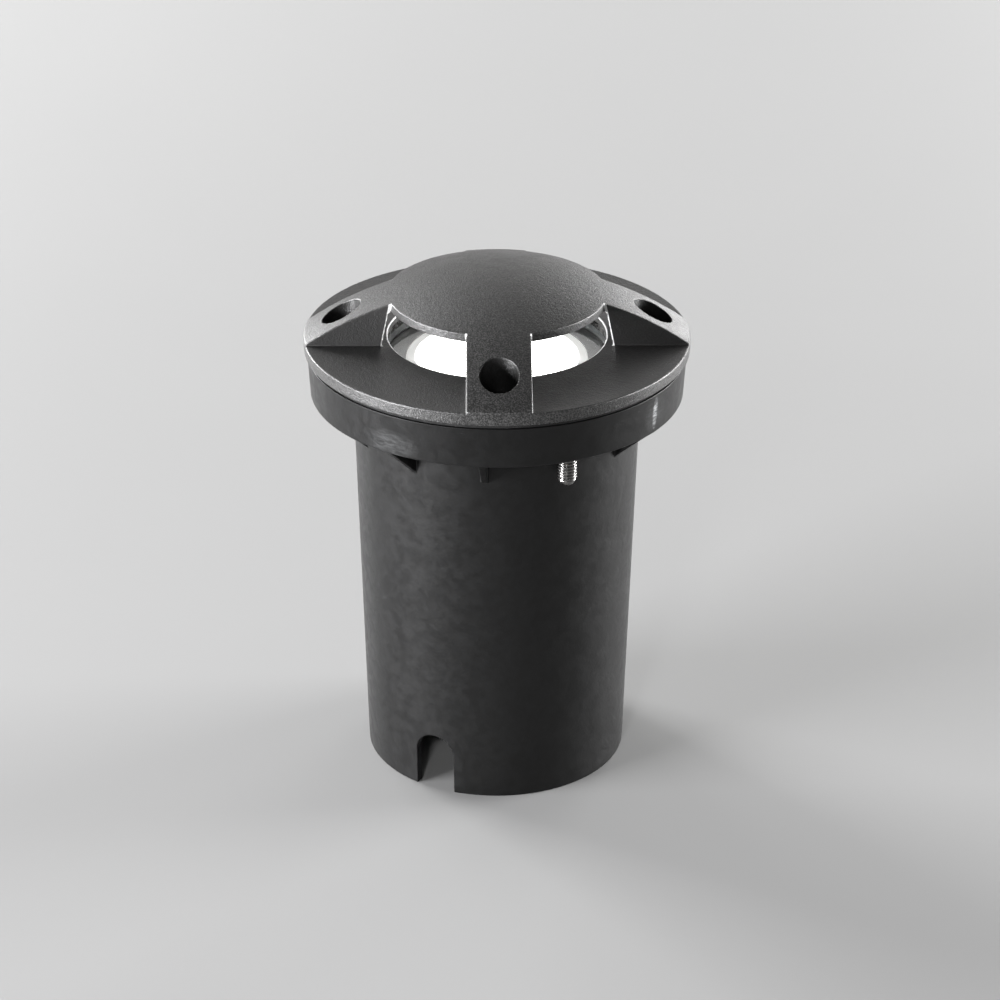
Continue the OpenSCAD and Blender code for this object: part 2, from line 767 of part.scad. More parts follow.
// The legs: spokes of the dome's sphere, hollow inside their leaning inner faces
module cover_legs() {
  inner_h = sphere_z + dome_sphere_r - window_z;
  lean = (leg_inner_r - leg_inner_top_r) / (lip_z - window_z);
  difference() {
    intersection() {
      dome_ball(dome_sphere_r, window_z - cover_wall / 2, cover_d);
      union() {
        for (a = leg_angles) rotate([0, 0, a])
          translate([-leg_w / 2, -cover_r - cut, window_z - cover_wall])
          cube([leg_w, cover_r + cut, inner_h + 2 * cover_wall]);
      }
    }
    difference() {
      translate([0, 0, window_z])
        cylinder(r1 = leg_inner_r, r2 = leg_inner_r - lean * inner_h, h = inner_h, $fn = 96);
      difference() {
        disc(cover_d, window_z - cut, window_z + 2 * inner_h);
        translate([0, 0, sphere_z]) sphere(r = dome_sphere_r - dome_wall, $fn = 128);
      }
    }
  }
}

// Four screws that hold the cover down on the flange
module cover_screws() {
  color("#9b9c9e") set_out(cover_screw_r, leg_angles)
    button_screw(screw_d, screw_head_d, screw_head_h, cover_screw_l, socket_d, cover_head_z);
}

// Plastic washers that keep the screws off the cast cover
module screw_washers() {
  color("#1b1b1c") set_out(cover_screw_r, leg_angles)
    ring(washer_d, clear_d, cover_seat_z, cover_head_z);
}

sleeve();
sleeve_inserts();
rim_gasket();
housing();
fixing_screws();
glass_gasket();
glass_lens();
clamp_ring();
clamp_screws();
reflector();
diffuser();
led_board();
led_chips();
board_screws();
heat_spreader();
spreader_screws();
led_leads();
driver_case();
driver_screws();
terminal_block();
terminal_screws();
gland_body();
gland_washer();
gland_locknut();
gland_seal();
gland_nut();
guard_cover();
cover_screws();
screw_washers();
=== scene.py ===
"""Looks of an in-ground well light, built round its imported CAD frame.

A domed four-legged guard of powder-coated cast metal covers a glazed light
fixture, which hangs by its flange in a black moulded ground sleeve. Shapes are
worked out in millimetres and set into their meshes in metres.
"""

import logging
import math
from dataclasses import dataclass, field
from enum import Enum
from typing import Any, Callable, Sequence

import bpy
import numpy as np
from mathutils import Matrix, Vector


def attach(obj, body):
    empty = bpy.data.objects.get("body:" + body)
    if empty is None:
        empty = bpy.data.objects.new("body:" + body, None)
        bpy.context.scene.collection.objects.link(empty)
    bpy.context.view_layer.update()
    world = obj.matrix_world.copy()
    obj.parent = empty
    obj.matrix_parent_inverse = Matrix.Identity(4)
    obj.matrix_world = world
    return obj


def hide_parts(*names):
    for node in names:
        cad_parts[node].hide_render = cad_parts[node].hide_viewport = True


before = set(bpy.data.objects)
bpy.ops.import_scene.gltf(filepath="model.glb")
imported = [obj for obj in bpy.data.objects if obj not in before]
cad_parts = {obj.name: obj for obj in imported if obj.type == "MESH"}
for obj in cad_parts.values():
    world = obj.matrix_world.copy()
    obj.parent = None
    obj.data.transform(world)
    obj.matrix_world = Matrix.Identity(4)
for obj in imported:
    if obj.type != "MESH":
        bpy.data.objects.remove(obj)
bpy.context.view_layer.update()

MM = 0.001
TINY = 1e-6
MIX_LOW, MIX_HIGH = 6, 7
LOG = logging.getLogger("well_light")
Field = Callable[[np.ndarray, np.ndarray, np.ndarray], np.ndarray]


# Shapes


def round_max(a: np.ndarray, b: np.ndarray, r: float) -> np.ndarray:
    """Common part of two solids given as distances, with its edge rounded.

    Args:
        a: Signed distance to the first solid, negative inside.
        b: Signed distance to the second solid.
        r: Radius of the rounded edge.

    Returns:
        Signed distance to the common part.
    """
    return np.minimum(np.maximum(a, b), -r) + np.hypot(np.maximum(a + r, 0), np.maximum(b + r, 0))


def round_min(a: np.ndarray, b: np.ndarray, r: float) -> np.ndarray:
    """Two solids joined, with a fillet of radius r where they meet."""
    return -round_max(-a, -b, r)


def slope_of(shape: Field, points: np.ndarray, h: float = 0.02) -> np.ndarray:
    """Gradient of a field of distances.

    Args:
        shape: The field.
        points: Points in millimetres, one a row.
        h: Half of the step that it is measured over.

    Returns:
        One gradient a row.
    """
    out = np.empty_like(points)
    for axis in range(3):
        step = np.zeros(3)
        step[axis] = h
        out[:, axis] = (shape(*(points + step).T) - shape(*(points - step).T)) / (2 * h)
    return out


def settle(shape: Field, points: np.ndarray, rounds: int = 4, reach: float = 0.3,
           least: float = 0.3) -> np.ndarray:
    """Moves points that lie near a surface onto it.

    Args:
        shape: The field whose zero is the surface.
        points: Points in millimetres, one a row.
        rounds: Number of steps.
        reach: Longest step along one axis.
        least: Least squared slope that a step is divided by.

    Returns:
        The moved points.
    """
    for _ in range(rounds):
        slope = slope_of(shape, points)
        size = np.maximum((slope * slope).sum(1), least)
        move = shape(*points.T)[:, None] * slope / size[:, None]
        points = points - np.clip(move, -reach, reach)
    return points


def mesh_from(name: str, points: np.ndarray, faces: np.ndarray) -> bpy.types.Mesh:
    """A mesh from arrays.

    Args:
        name: Name of the mesh.
        points: Points in millimetres, one a row.
        faces: Point numbers, one face a row, all with the same count.

    Returns:
        The mesh, in metres and shaded smooth.
    """
    mesh = bpy.data.meshes.new(name)
    mesh.vertices.add(len(points))
    mesh.vertices.foreach_set("co", (points * MM).ravel())
    mesh.loops.add(faces.size)
    mesh.loops.foreach_set("vertex_index", faces.ravel().astype(np.int32))
    mesh.polygons.add(len(faces))
    mesh.polygons.foreach_set("loop_start", np.arange(len(faces), dtype=np.int32) * faces.shape[1])
    mesh.update(calc_edges=True)
    mesh.validate()
    mesh.shade_smooth()
    return mesh


def in_scene(name: str, mesh: bpy.types.Mesh) -> bpy.types.Object:
    """Puts a mesh into the scene as an object at the origin.

    Args:
        name: Name of the object.
        mesh: Its mesh.

    Returns:
        The object.
    """
    obj = bpy.data.objects.new(name, mesh)
    bpy.context.scene.collection.objects.link(obj)
    return obj


def made_plain(obj: bpy.types.Object) -> None:
    """Applies all modifiers of an object, by way of its evaluated mesh.

    Args:
        obj: The object.
    """
    graph = bpy.context.evaluated_depsgraph_get()
    mesh = bpy.data.meshes.new_from_object(obj.evaluated_get(graph))
    obj.modifiers.clear()
    obj.data = mesh


@dataclass
class Skin:
    """Closes a mesh round a field of distances, on three sets of grid lines.

    Args:
        shape: The field, in millimetres and negative inside.
        lines: Grid lines along x, y and z, or along radius, azimuth and height.
        ring: True where the second set is azimuths from the front towards +X,
            all the way round.
        most: Most triangles that the mesh may have.
        batch: Layers of the grid that are worked out at a time.
    """

    shape: Field
    lines: tuple[np.ndarray, np.ndarray, np.ndarray]
    ring: bool = False
    most: int = 190_000
    batch: int = 6

    def spot(self, a: np.ndarray, b: np.ndarray, c: np.ndarray) -> tuple[np.ndarray, ...]:
        """Points in x, y and z of grid places."""
        return (a * np.sin(b), -a * np.cos(b), c) if self.ring else (a, b, c)

    def values(self) -> np.ndarray:
        """Works the field out, a few layers of the grid at a time.

        Returns:
            The field at every grid point.
        """
        first, second, third = self.lines
        out = np.empty((len(first), len(second), len(third)))
        for low in range(0, len(first), self.batch):
            part = slice(low, low + self.batch)
            out[part] = self.shape(*self.spot(*np.meshgrid(first[part], second, third, indexing="ij")))
        return out

    def quads(self) -> tuple[np.ndarray, np.ndarray]:
        """One point for each cell that the surface runs through, and the quads between them.

        Returns:
            Points and faces.
        """
        value = self.values()
        size = value.shape
        faces, hits = [], []
        for axis in range(3):
            closed = self.ring and axis == 1
            here = value if closed else value[tuple(slice(0, -1 if d == axis else None) for d in range(3))]
            there = (np.roll(value, -1, axis) if closed
                     else value[tuple(slice(1 if d == axis else 0, None) for d in range(3))])
            at = np.argwhere((here < 0) != (there < 0))
            v0, v1 = here[tuple(at.T)], there[tuple(at.T)]
            low = [self.lines[d][at[:, d]] for d in range(3)]
            steps = np.append(np.diff(self.lines[axis]), 2 * math.pi / size[1] if closed else 0.0)
            low[axis] = low[axis] + v0 / (v0 - v1) * steps[at[:, axis]]
            b, c = (axis + 1) % 3, (axis + 2) % 3
            around = []
            for db, dc in ((-1, -1), (0, -1), (0, 0), (-1, 0)):
                cell = at.copy()
                cell[:, b] += db
                cell[:, c] += dc
                if self.ring:
                    cell[:, 1] %= size[1]
                around.append((cell[:, 0] * size[1] + cell[:, 1]) * size[2] + cell[:, 2])
            quad = np.stack(around, 1)
            quad[v0 > 0] = quad[v0 > 0][:, ::-1]
            faces.append(quad)
            hits.append(np.repeat(np.stack(self.spot(*low), 1), 4, 0))
        number = np.unique(np.concatenate(faces).ravel(), return_inverse=True)[1].ravel()
        hits = np.concatenate(hits)
        count = np.bincount(number)
        points = np.stack([np.bincount(number, hits[:, d]) / count for d in range(3)], 1)
        return points, number.reshape(-1, 4)

    def make(self, name: str) -> bpy.types.Object:
        """The finished object, its points on the surface and its shading from the field.

        Args:
            name: Name of the object.

        Returns:
            The object.
        """
        points, faces = self.quads()
        obj = in_scene(name, mesh_from(name, settle(self.shape, points), faces))
        triangles = 2 * len(faces)
        if triangles > self.most:
            thin = obj.modifiers.new("thin", "DECIMATE")
            thin.ratio = self.most / triangles
            made_plain(obj)
        mesh = obj.data
        spots = np.empty(len(mesh.vertices) * 3)
        mesh.vertices.foreach_get("co", spots)
        spots = settle(self.shape, spots.reshape(-1, 3) / MM, rounds=2, reach=0.1)
        mesh.vertices.foreach_set("co", (spots * MM).ravel())
        mesh.update()
        mesh.shade_smooth()
        slope = slope_of(self.shape, spots)
        slope /= np.maximum(np.linalg.norm(slope, axis=1), TINY)[:, None]
        mesh.normals_split_custom_set_from_vertices(slope.tolist())
        LOG.info("%s: %d triangles", name, sum(len(p.vertices) - 2 for p in mesh.polygons))
        return obj


def rounded(corners: Sequence[tuple[float, float]], r: float, ends: bool = False, parts: int = 4,
            most: float = 0.45) -> list[tuple[float, float]]:
    """A profile with its corners rounded.

    Args:
        corners: Corners as (radius, height), anticlockwise.
        r: How far from a corner its rounding starts.
        ends: True where the profile is open, and its two ends stay as they are.
        parts: Number of steps in a rounding.
        most: Largest share of a side that one rounding takes.

    Returns:
        The points of the profile.
    """
    out = []
    count = len(corners)
    for i, corner in enumerate(corners):
        here = Vector(corner)
        if ends and i in (0, count - 1):
            out.append((here.x, here.y))
            continue
        back, on = Vector(corners[i - 1]) - here, Vector(corners[(i + 1) % count]) - here
        start = here + back.normalized() * min(r, most * back.length)
        stop = here + on.normalized() * min(r, most * on.length)
        for k in range(parts + 1):
            t = k / parts
            spot = start * (1 - t) ** 2 + here * 2 * t * (1 - t) + stop * t * t
            out.append((spot.x, spot.y))
    return out


def ringed(name: str, radius: np.ndarray, height: np.ndarray,
           ends: tuple[float, float] | None = None) -> bpy.types.Object:
    """Rings of points round the vertical axis, each joined to the next.

    Args:
        name: Name of the object.
        radius: Radius of each point in millimetres, one ring a row.
        height: Height of each point, one ring a row.
        ends: Heights on the axis at which the first and the last ring close.
            Without them the last ring is joined to the first.

    Returns:
        The object, in metres and shaded smooth.
    """
    count, steps = radius.shape
    angle = np.arange(steps) * 2 * math.pi / steps
    spots = np.stack([radius * np.sin(angle), -radius * np.cos(angle), height], 2).reshape(-1, 3).tolist()
    i, j = np.meshgrid(np.arange(count - (1 if ends else 0)), np.arange(steps), indexing="ij")
    on, up = (j + 1) % steps, (i + 1) % count
    faces = np.stack([i * steps + j, i * steps + on, up * steps + on, up * steps + j], 2)
    faces = faces.reshape(-1, 4).tolist()
    if ends:
        foot, top, last = count * steps, count * steps + 1, (count - 1) * steps
        spots += [[0.0, 0.0, end] for end in ends]
        faces += [[foot, (k + 1) % steps, k] for k in range(steps)]
        faces += [[top, last + k, last + (k + 1) % steps] for k in range(steps)]
    mesh = bpy.data.meshes.new(name)
    mesh.from_pydata([tuple(c * MM for c in spot) for spot in spots], [], faces)
    mesh.shade_smooth()
    return in_scene(name, mesh)


def turned(name: str, profile: Sequence[tuple[float, float]], steps: int = 192,
           hub: bool = False) -> bpy.types.Object:
    """A profile turned about the vertical axis.

    Args:
        name: Name of the object.
        profile: Points as (radius, height), anticlockwise.
        steps: Number of steps round the axis.
        hub: True where the profile starts and ends on the axis.

    Returns:
        The object.
    """
    rows = np.array(profile[1:-1] if hub else profile)
    radius, height = (np.repeat(rows[:, k, None], steps, 1) for k in range(2))
    return ringed(name, radius, height, (profile[0][1], profile[-1][1]) if hub else None)


@dataclass(frozen=True)
class Band:
    """Section of a plain ring, or of a disc where inner is 0, in millimetres."""

    inner: float
    outer: float
    low: float
    high: float
    edge: float
    steps: int = 192

    def turned(self, name: str) -> bpy.types.Object:
        """The ring or disc, with its edges rounded.

        Args:
            name: Name of the object.

        Returns:
            The object.
        """
        disc = self.inner == 0
        corners = [(self.inner, self.low), (self.outer, self.low), (self.outer, self.high),
                   (self.inner, self.high)]
        return turned(name, rounded(corners, self.edge, disc), self.steps, disc)


# Shading


def fill(tree: bpy.types.NodeTree, node: bpy.types.Node, inputs: dict[Any, Any]) -> bpy.types.Node:
    """Sets the inputs of a node, and links those that are given a socket.

    Args:
        tree: The node's tree.
        node: The node.
        inputs: Value, or socket to link, for each input by name or number.

    Returns:
        The node.
    """
    for key, value in inputs.items():
        if isinstance(value, bpy.types.NodeSocket):
            tree.links.new(value, node.inputs[key])
        else:
            node.inputs[key].default_value = value
    return node


def put(tree: bpy.types.NodeTree, kind: str, inputs: dict[Any, Any] | None = None,
        **settings: Any) -> bpy.types.Node:
    """Adds a node to a tree.

    Args:
        tree: The tree.
        kind: Type of the node.
        inputs: Value, or socket to link, for each input by name or number.
        **settings: Properties of the node.

    Returns:
        The node.
    """
    node = tree.nodes.new(kind)
    for key, value in settings.items():
        setattr(node, key, value)
    return fill(tree, node, inputs or {})


def sums(tree: bpy.types.NodeTree, operation: str, *values: Any) -> bpy.types.NodeSocket:
    """Result of a Math node on values or sockets."""
    return put(tree, "ShaderNodeMath", dict(enumerate(values)), operation=operation).outputs[0]


def xyz(tree: bpy.types.NodeTree, vector: bpy.types.NodeSocket) -> tuple[bpy.types.NodeSocket, ...]:
    """The three parts of a vector."""
    return tuple(put(tree, "ShaderNodeSeparateXYZ", {0: vector}).outputs)


def length(tree: bpy.types.NodeTree, a: bpy.types.NodeSocket, b: bpy.types.NodeSocket
           ) -> bpy.types.NodeSocket:
    """Length of a vector with the two parts a and b."""
    flat = put(tree, "ShaderNodeCombineXYZ", {0: a, 1: b})
    return put(tree, "ShaderNodeVectorMath", {0: flat.outputs[0]}, operation="LENGTH").outputs["Value"]


class Effect(Enum):
    """Surface effects that the finishes share, each one a node group."""

    GRAIN = "fine_grain"
    CLOUDS = "soft_clouds"
    TURNING = "turning_lines"


@dataclass
class EffectGroups:
    """Makes the shared groups once and hands out nodes that use them."""

    fine_rough: float = 0.6
    coarse_scale: float = 0.37
    coarse_share: float = 0.6
    speck_soft: float = 0.11
    cloud_from: float = 0.36
    cloud_to: float = 0.64
    cloud_rough: float = 0.5
    cloud_warp: float = 0.6
    line_scale: float = 0.31
    made: dict[Effect, bpy.types.NodeTree] = field(default_factory=dict)

    def start(self, effect: Effect, inputs: Sequence[str], outputs: Sequence[str]
              ) -> tuple[bpy.types.NodeTree, Any, bpy.types.Node]:
        """An empty group with its sockets.

        Args:
            effect: The effect that it is for.
            inputs: Name of each number that goes in.
            outputs: Name of each number that comes out.

        Returns:
            The group, the sockets of its input node, and its output node.
        """
        tree = bpy.data.node_groups.new(effect.value, "ShaderNodeTree")
        face = tree.interface
        face.new_socket("Vector", in_out="INPUT", socket_type="NodeSocketVector")
        for name in inputs:
            face.new_socket(name, in_out="INPUT", socket_type="NodeSocketFloat")
        for name in outputs:
            face.new_socket(name, in_out="OUTPUT", socket_type="NodeSocketFloat")
        self.made[effect] = tree
        return tree, tree.nodes.new("NodeGroupInput").outputs, tree.nodes.new("NodeGroupOutput")

    def grain(self) -> None:
        """Fine grain: a height with two sizes of bumps, and a mask of its crests."""
        tree, enter, leave = self.start(Effect.GRAIN, ("Size", "Specks"), ("Height", "Speck"))
        scale = sums(tree, "DIVIDE", 1.0, enter["Size"])
        fine = put(tree, "ShaderNodeTexNoise", {
            "Vector": enter["Vector"], "Scale": scale, "Detail": 2.0,
            "Roughness": self.fine_rough}).outputs[0]
        coarse = put(tree, "ShaderNodeTexNoise", {
            "Vector": enter["Vector"], "Scale": sums(tree, "MULTIPLY", scale, self.coarse_scale),
            "Detail": 1.0}).outputs[0]
        low = sums(tree, "SUBTRACT", enter["Specks"], self.speck_soft)
        high = sums(tree, "ADD", enter["Specks"], self.speck_soft)
        speck = put(tree, "ShaderNodeMapRange", {0: fine, 1: low, 2: high, 3: 0.0, 4: 1.0})
        fill(tree, leave, {"Height": sums(tree, "MULTIPLY_ADD", coarse, self.coarse_share, fine),
                           "Speck": speck.outputs[0]})

    def clouds(self) -> None:
        """Soft clouds between two values, with a warped outline."""
        tree, enter, leave = self.start(Effect.CLOUDS, ("Size", "Low", "High"), ("Value",))
        noise = put(tree, "ShaderNodeTexNoise", {
            "Vector": enter["Vector"], "Scale": sums(tree, "DIVIDE", 1.0, enter["Size"]), "Detail": 3.0,
            "Roughness": self.cloud_rough, "Distortion": self.cloud_warp})
        spread = put(tree, "ShaderNodeMapRange", {
            0: noise.outputs[0], 1: self.cloud_from, 2: self.cloud_to, 3: enter["Low"], 4: enter["High"]},
            interpolation_type="SMOOTHSTEP")
        fill(tree, leave, {"Value": spread.outputs[0]})

    def turning(self) -> None:
        """Fine rings round the vertical axis, as a lathe leaves."""
        tree, enter, leave = self.start(Effect.TURNING, ("Pitch",), ("Height",))
        x, y, z = xyz(tree, enter["Vector"])
        line = sums(tree, "ADD", length(tree, x, y), z)
        turns = sums(tree, "DIVIDE", line, enter["Pitch"])
        uneven = put(tree, "ShaderNodeTexNoise", {"W": turns, "Scale": self.line_scale, "Detail": 2.0},
                     noise_dimensions="1D")
        fill(tree, leave, {"Height": uneven.outputs[0]})

    def use(self, tree: bpy.types.NodeTree, effect: Effect, inputs: dict[str, Any]) -> bpy.types.Node:
        """A node that uses an effect's group.

        Args:
            tree: Tree of the material.
            effect: The effect.
            inputs: Value or socket for each input of the group.

        Returns:
            The node.
        """
        if effect not in self.made:
            makers = {Effect.GRAIN: self.grain, Effect.CLOUDS: self.clouds, Effect.TURNING: self.turning}
            makers[effect]()
        return put(tree, "ShaderNodeGroup", inputs, node_tree=self.made[effect])


EFFECTS = EffectGroups()


@dataclass
class Surface:
    """A material in the making, with its Principled shader and Object coordinates."""

    name: str
    material: bpy.types.Material = field(init=False)
    tree: bpy.types.NodeTree = field(init=False)
    shader: bpy.types.Node = field(init=False)
    output: bpy.types.Node = field(init=False)
    place: bpy.types.NodeSocket = field(init=False)

    def __post_init__(self) -> None:
        """Makes the material, its shader and its output."""
        self.material = bpy.data.materials.new(self.name)
        self.material.use_nodes = True
        self.tree = self.material.node_tree
        self.tree.nodes.clear()
        self.shader = put(self.tree, "ShaderNodeBsdfPrincipled")
        self.output = put(self.tree, "ShaderNodeOutputMaterial", {"Surface": self.shader.outputs[0]})
        self.place = put(self.tree, "ShaderNodeTexCoord").outputs["Object"]

    def calc(self, operation: str, *values: Any) -> bpy.types.NodeSocket:
        """Result of a Math node on values or sockets."""
        return sums(self.tree, operation, *values)

    def blend(self, share: Any, low: Any, high: Any) -> bpy.types.NodeSocket:
        """Colour between two colours, by a share."""
        inputs = {0: share, MIX_LOW: low, MIX_HIGH: high}
        return put(self.tree, "ShaderNodeMix", inputs, data_type="RGBA").outputs[2]

    def clouds(self, size: float, low: float = 0.0, high: float = 1.0,
               place: bpy.types.NodeSocket | None = None) -> bpy.types.NodeSocket:
        """Soft clouds between two values.

        Args:
            size: Size of the clouds in metres.
            low: Value between the clouds.
            high: Value in the clouds.
            place: Coordinates, where they aren't the object's.

        Returns:
            The value.
        """
        inputs = {"Vector": self.place if place is None else place, "Size": size, "Low": low, "High": high}
        return EFFECTS.use(self.tree, Effect.CLOUDS, inputs).outputs["Value"]

    def grain(self, size: float, specks: float = 0.7) -> tuple[bpy.types.NodeSocket, bpy.types.NodeSocket]:
        """Fine grain.

        Args:
            size: Size of its bumps in metres.
            specks: Height from which a bump is a crest.

        Returns:
            Its height, and the mask of its crests.
        """
        node = EFFECTS.use(self.tree, Effect.GRAIN, {"Vector": self.place, "Size": size, "Specks": specks})
        return node.outputs["Height"], node.outputs["Speck"]

    def turning(self, pitch: float) -> bpy.types.NodeSocket:
        """Height of the lines that a lathe leaves."""
        inputs = {"Vector": self.place, "Pitch": pitch}
        return EFFECTS.use(self.tree, Effect.TURNING, inputs).outputs["Height"]

    def bump(self, height: bpy.types.NodeSocket, depth: float, strength: float,
             under: bpy.types.NodeSocket | None = None) -> bpy.types.NodeSocket:
        """Links a height to the shader's normal.

        Args:
            height: Height from 0 to 1.
            depth: Depth in metres of a height of 1.
            strength: Strength of the bump.
            under: Normal of a bump below this one.

        Returns:
            The normal.
        """
        inputs = {"Height": height, "Distance": depth, "Strength": strength}
        if under is not None:
            inputs["Normal"] = under
        normal = put(self.tree, "ShaderNodeBump", inputs).outputs[0]
        fill(self.tree, self.shader, {"Normal": normal})
        return normal

    def done(self, inputs: dict[str, Any]) -> bpy.types.Material:
        """Sets or links the shader's inputs, and gives the finished material."""
        fill(self.tree, self.shader, inputs)
        return self.material


def rgb(value: float, warm: float = 0.0) -> tuple[float, float, float, float]:
    """A grey, a little warmer or cooler.

    Args:
        value: How light it is, linear.
        warm: Share by which red is above and blue is below it.

    Returns:
        The colour.
    """
    return (value * (1 + warm), value, value * (1 - warm), 1.0)


@dataclass(frozen=True)
class Finish:
    """Base of the finishes. name is its material's, and slot is the record's."""

    name: str
    slot: str

    def material(self) -> bpy.types.Material:
        """The finish's material. Each finish has its own."""
        raise NotImplementedError


@dataclass(frozen=True)
class PowderCoat(Finish):
    """Fine-textured dark powder coat. Its grain's crests are painted lighter as glints, the
    inner edges of the openings carry a painted highlight of the diffuser's light, and the
    screw wells carry painted shade.

    Its texture is in metres. The fields from lip_out on say how far the places where the
    coat differs reach, in millimetres.
    """

    dark: float = 0.012
    light: float = 0.074
    edge_highlight_colour: float = 0.65
    warm: float = 0.01
    grain: float = 0.00043
    crests: float = 0.54
    depth: float = 0.00016
    strength: float = 0.9
    cloud: float = 0.006
    rough_low: float = 0.35
    rough_high: float = 0.42
    metallic: float = 0.2
    shine: float = 0.62
    flat_glint_tone: float = 0.32
    flat_glint_fade: float = 0.8
    well_painted_shade: float = 0.9
    lip_out: float = 0.16
    lip_wide: float = 0.27
    lip_tall: float = 0.33
    leg_in: float = 0.05
    leg_wide: float = 0.3
    leg_tall: float = 0.42
    floor_tall: float = 0.12
    rim_in: float = 0.3
    side_wide: float = 0.1
    well_out: float = 0.04

    def places(self, surface: Surface
               ) -> tuple[bpy.types.NodeSocket, bpy.types.NodeSocket, bpy.types.NodeSocket]:
        """Masks of the places where the coat differs.

        Args:
            surface: The material in the making.

        Returns:
            The thin edges with a painted highlight, the window floor and leg sides where the
            painted glints are evened out, and the screw wells with painted shade.
        """
        guard, calc, tree = GuardCover(), surface.calc, surface.tree
        x, y, z = (calc("DIVIDE", part, MM) for part in xyz(tree, surface.place))
        rho = length(tree, x, y)
        x_size, y_size = calc("ABSOLUTE", x), calc("ABSOLUTE", y)
        across = calc("MINIMUM", x_size, y_size)
        along = calc("SUBTRACT", calc("MAXIMUM", x_size, y_size), guard.screws.radius)
        well = calc("LESS_THAN", length(tree, along, across), guard.well_r + self.well_out)
        rise = calc("SUBTRACT", z, guard.floor_z)
        lip = calc("MULTIPLY", calc("COMPARE", rho, guard.opening_r + self.lip_out, self.lip_wide),
                   calc("COMPARE", rise, 0.0, self.lip_tall))
        wall = calc("MULTIPLY_ADD", rise, -guard.leg_lean, guard.leg_foot_r)
        leg = calc("MULTIPLY", calc("COMPARE", across, guard.leg_half - self.leg_in, self.leg_wide),
                   calc("COMPARE", rho, wall, self.leg_tall))
        flat = calc("MULTIPLY", calc("COMPARE", rise, 0.0, self.floor_tall),
                    calc("LESS_THAN", rho, guard.outer_r - self.rim_in))
        side = calc("MULTIPLY", calc("COMPARE", across, guard.leg_half, self.side_wide),
                    calc("GREATER_THAN", rho, guard.opening_r))
        return calc("MAXIMUM", lip, leg), calc("MAXIMUM", flat, side), well

    def material(self) -> bpy.types.Material:
        """Dark coat over a fine grain whose crests are painted lighter as glints, and a slow change of gloss.

        Returns:
            The material.
        """
        surface = Surface(self.name)
        calc = surface.calc
        height, speck = surface.grain(self.grain, self.crests)
        edge_highlight, flat, well = self.places(surface)
        # Painted glints: the grain's crests are lighter, and evened out on the window floor and leg sides.
        tone = calc("MULTIPLY_ADD", calc("SUBTRACT", self.flat_glint_tone, speck),
                    calc("MULTIPLY", flat, self.flat_glint_fade), speck)
        # Painted shade: the coat is darker inside the screw wells.
        tone = calc("MULTIPLY", tone, calc("MULTIPLY_ADD", well, -self.well_painted_shade, 1.0))
        coat = surface.blend(tone, rgb(self.dark, self.warm), rgb(self.light, self.warm))
        surface.bump(height, self.depth, self.strength)
        # Painted highlight: the diffuser's light on the inner edges of the openings, as a pale colour.
        return surface.done({
            "Base Color": surface.blend(edge_highlight, coat, rgb(self.edge_highlight_colour)), "Metallic": self.metallic,
            "Roughness": surface.clouds(self.cloud, self.rough_low, self.rough_high),
            "Specular IOR Level": self.shine})


@dataclass(frozen=True)
class CollarHighlight:
    """A painted highlight on the collar: a lighter patch where its gloss catches the light.

    Args:
        turn: Its azimuth from the front in radians.
        wide: Half of its width in radians.
        rise: Its height over the collar's underside in millimetres.
        tall: Half of its height in millimetres.
        strength: Its strength.
    """

    turn: float
    wide: float
    rise: float
    tall: float
    strength: float


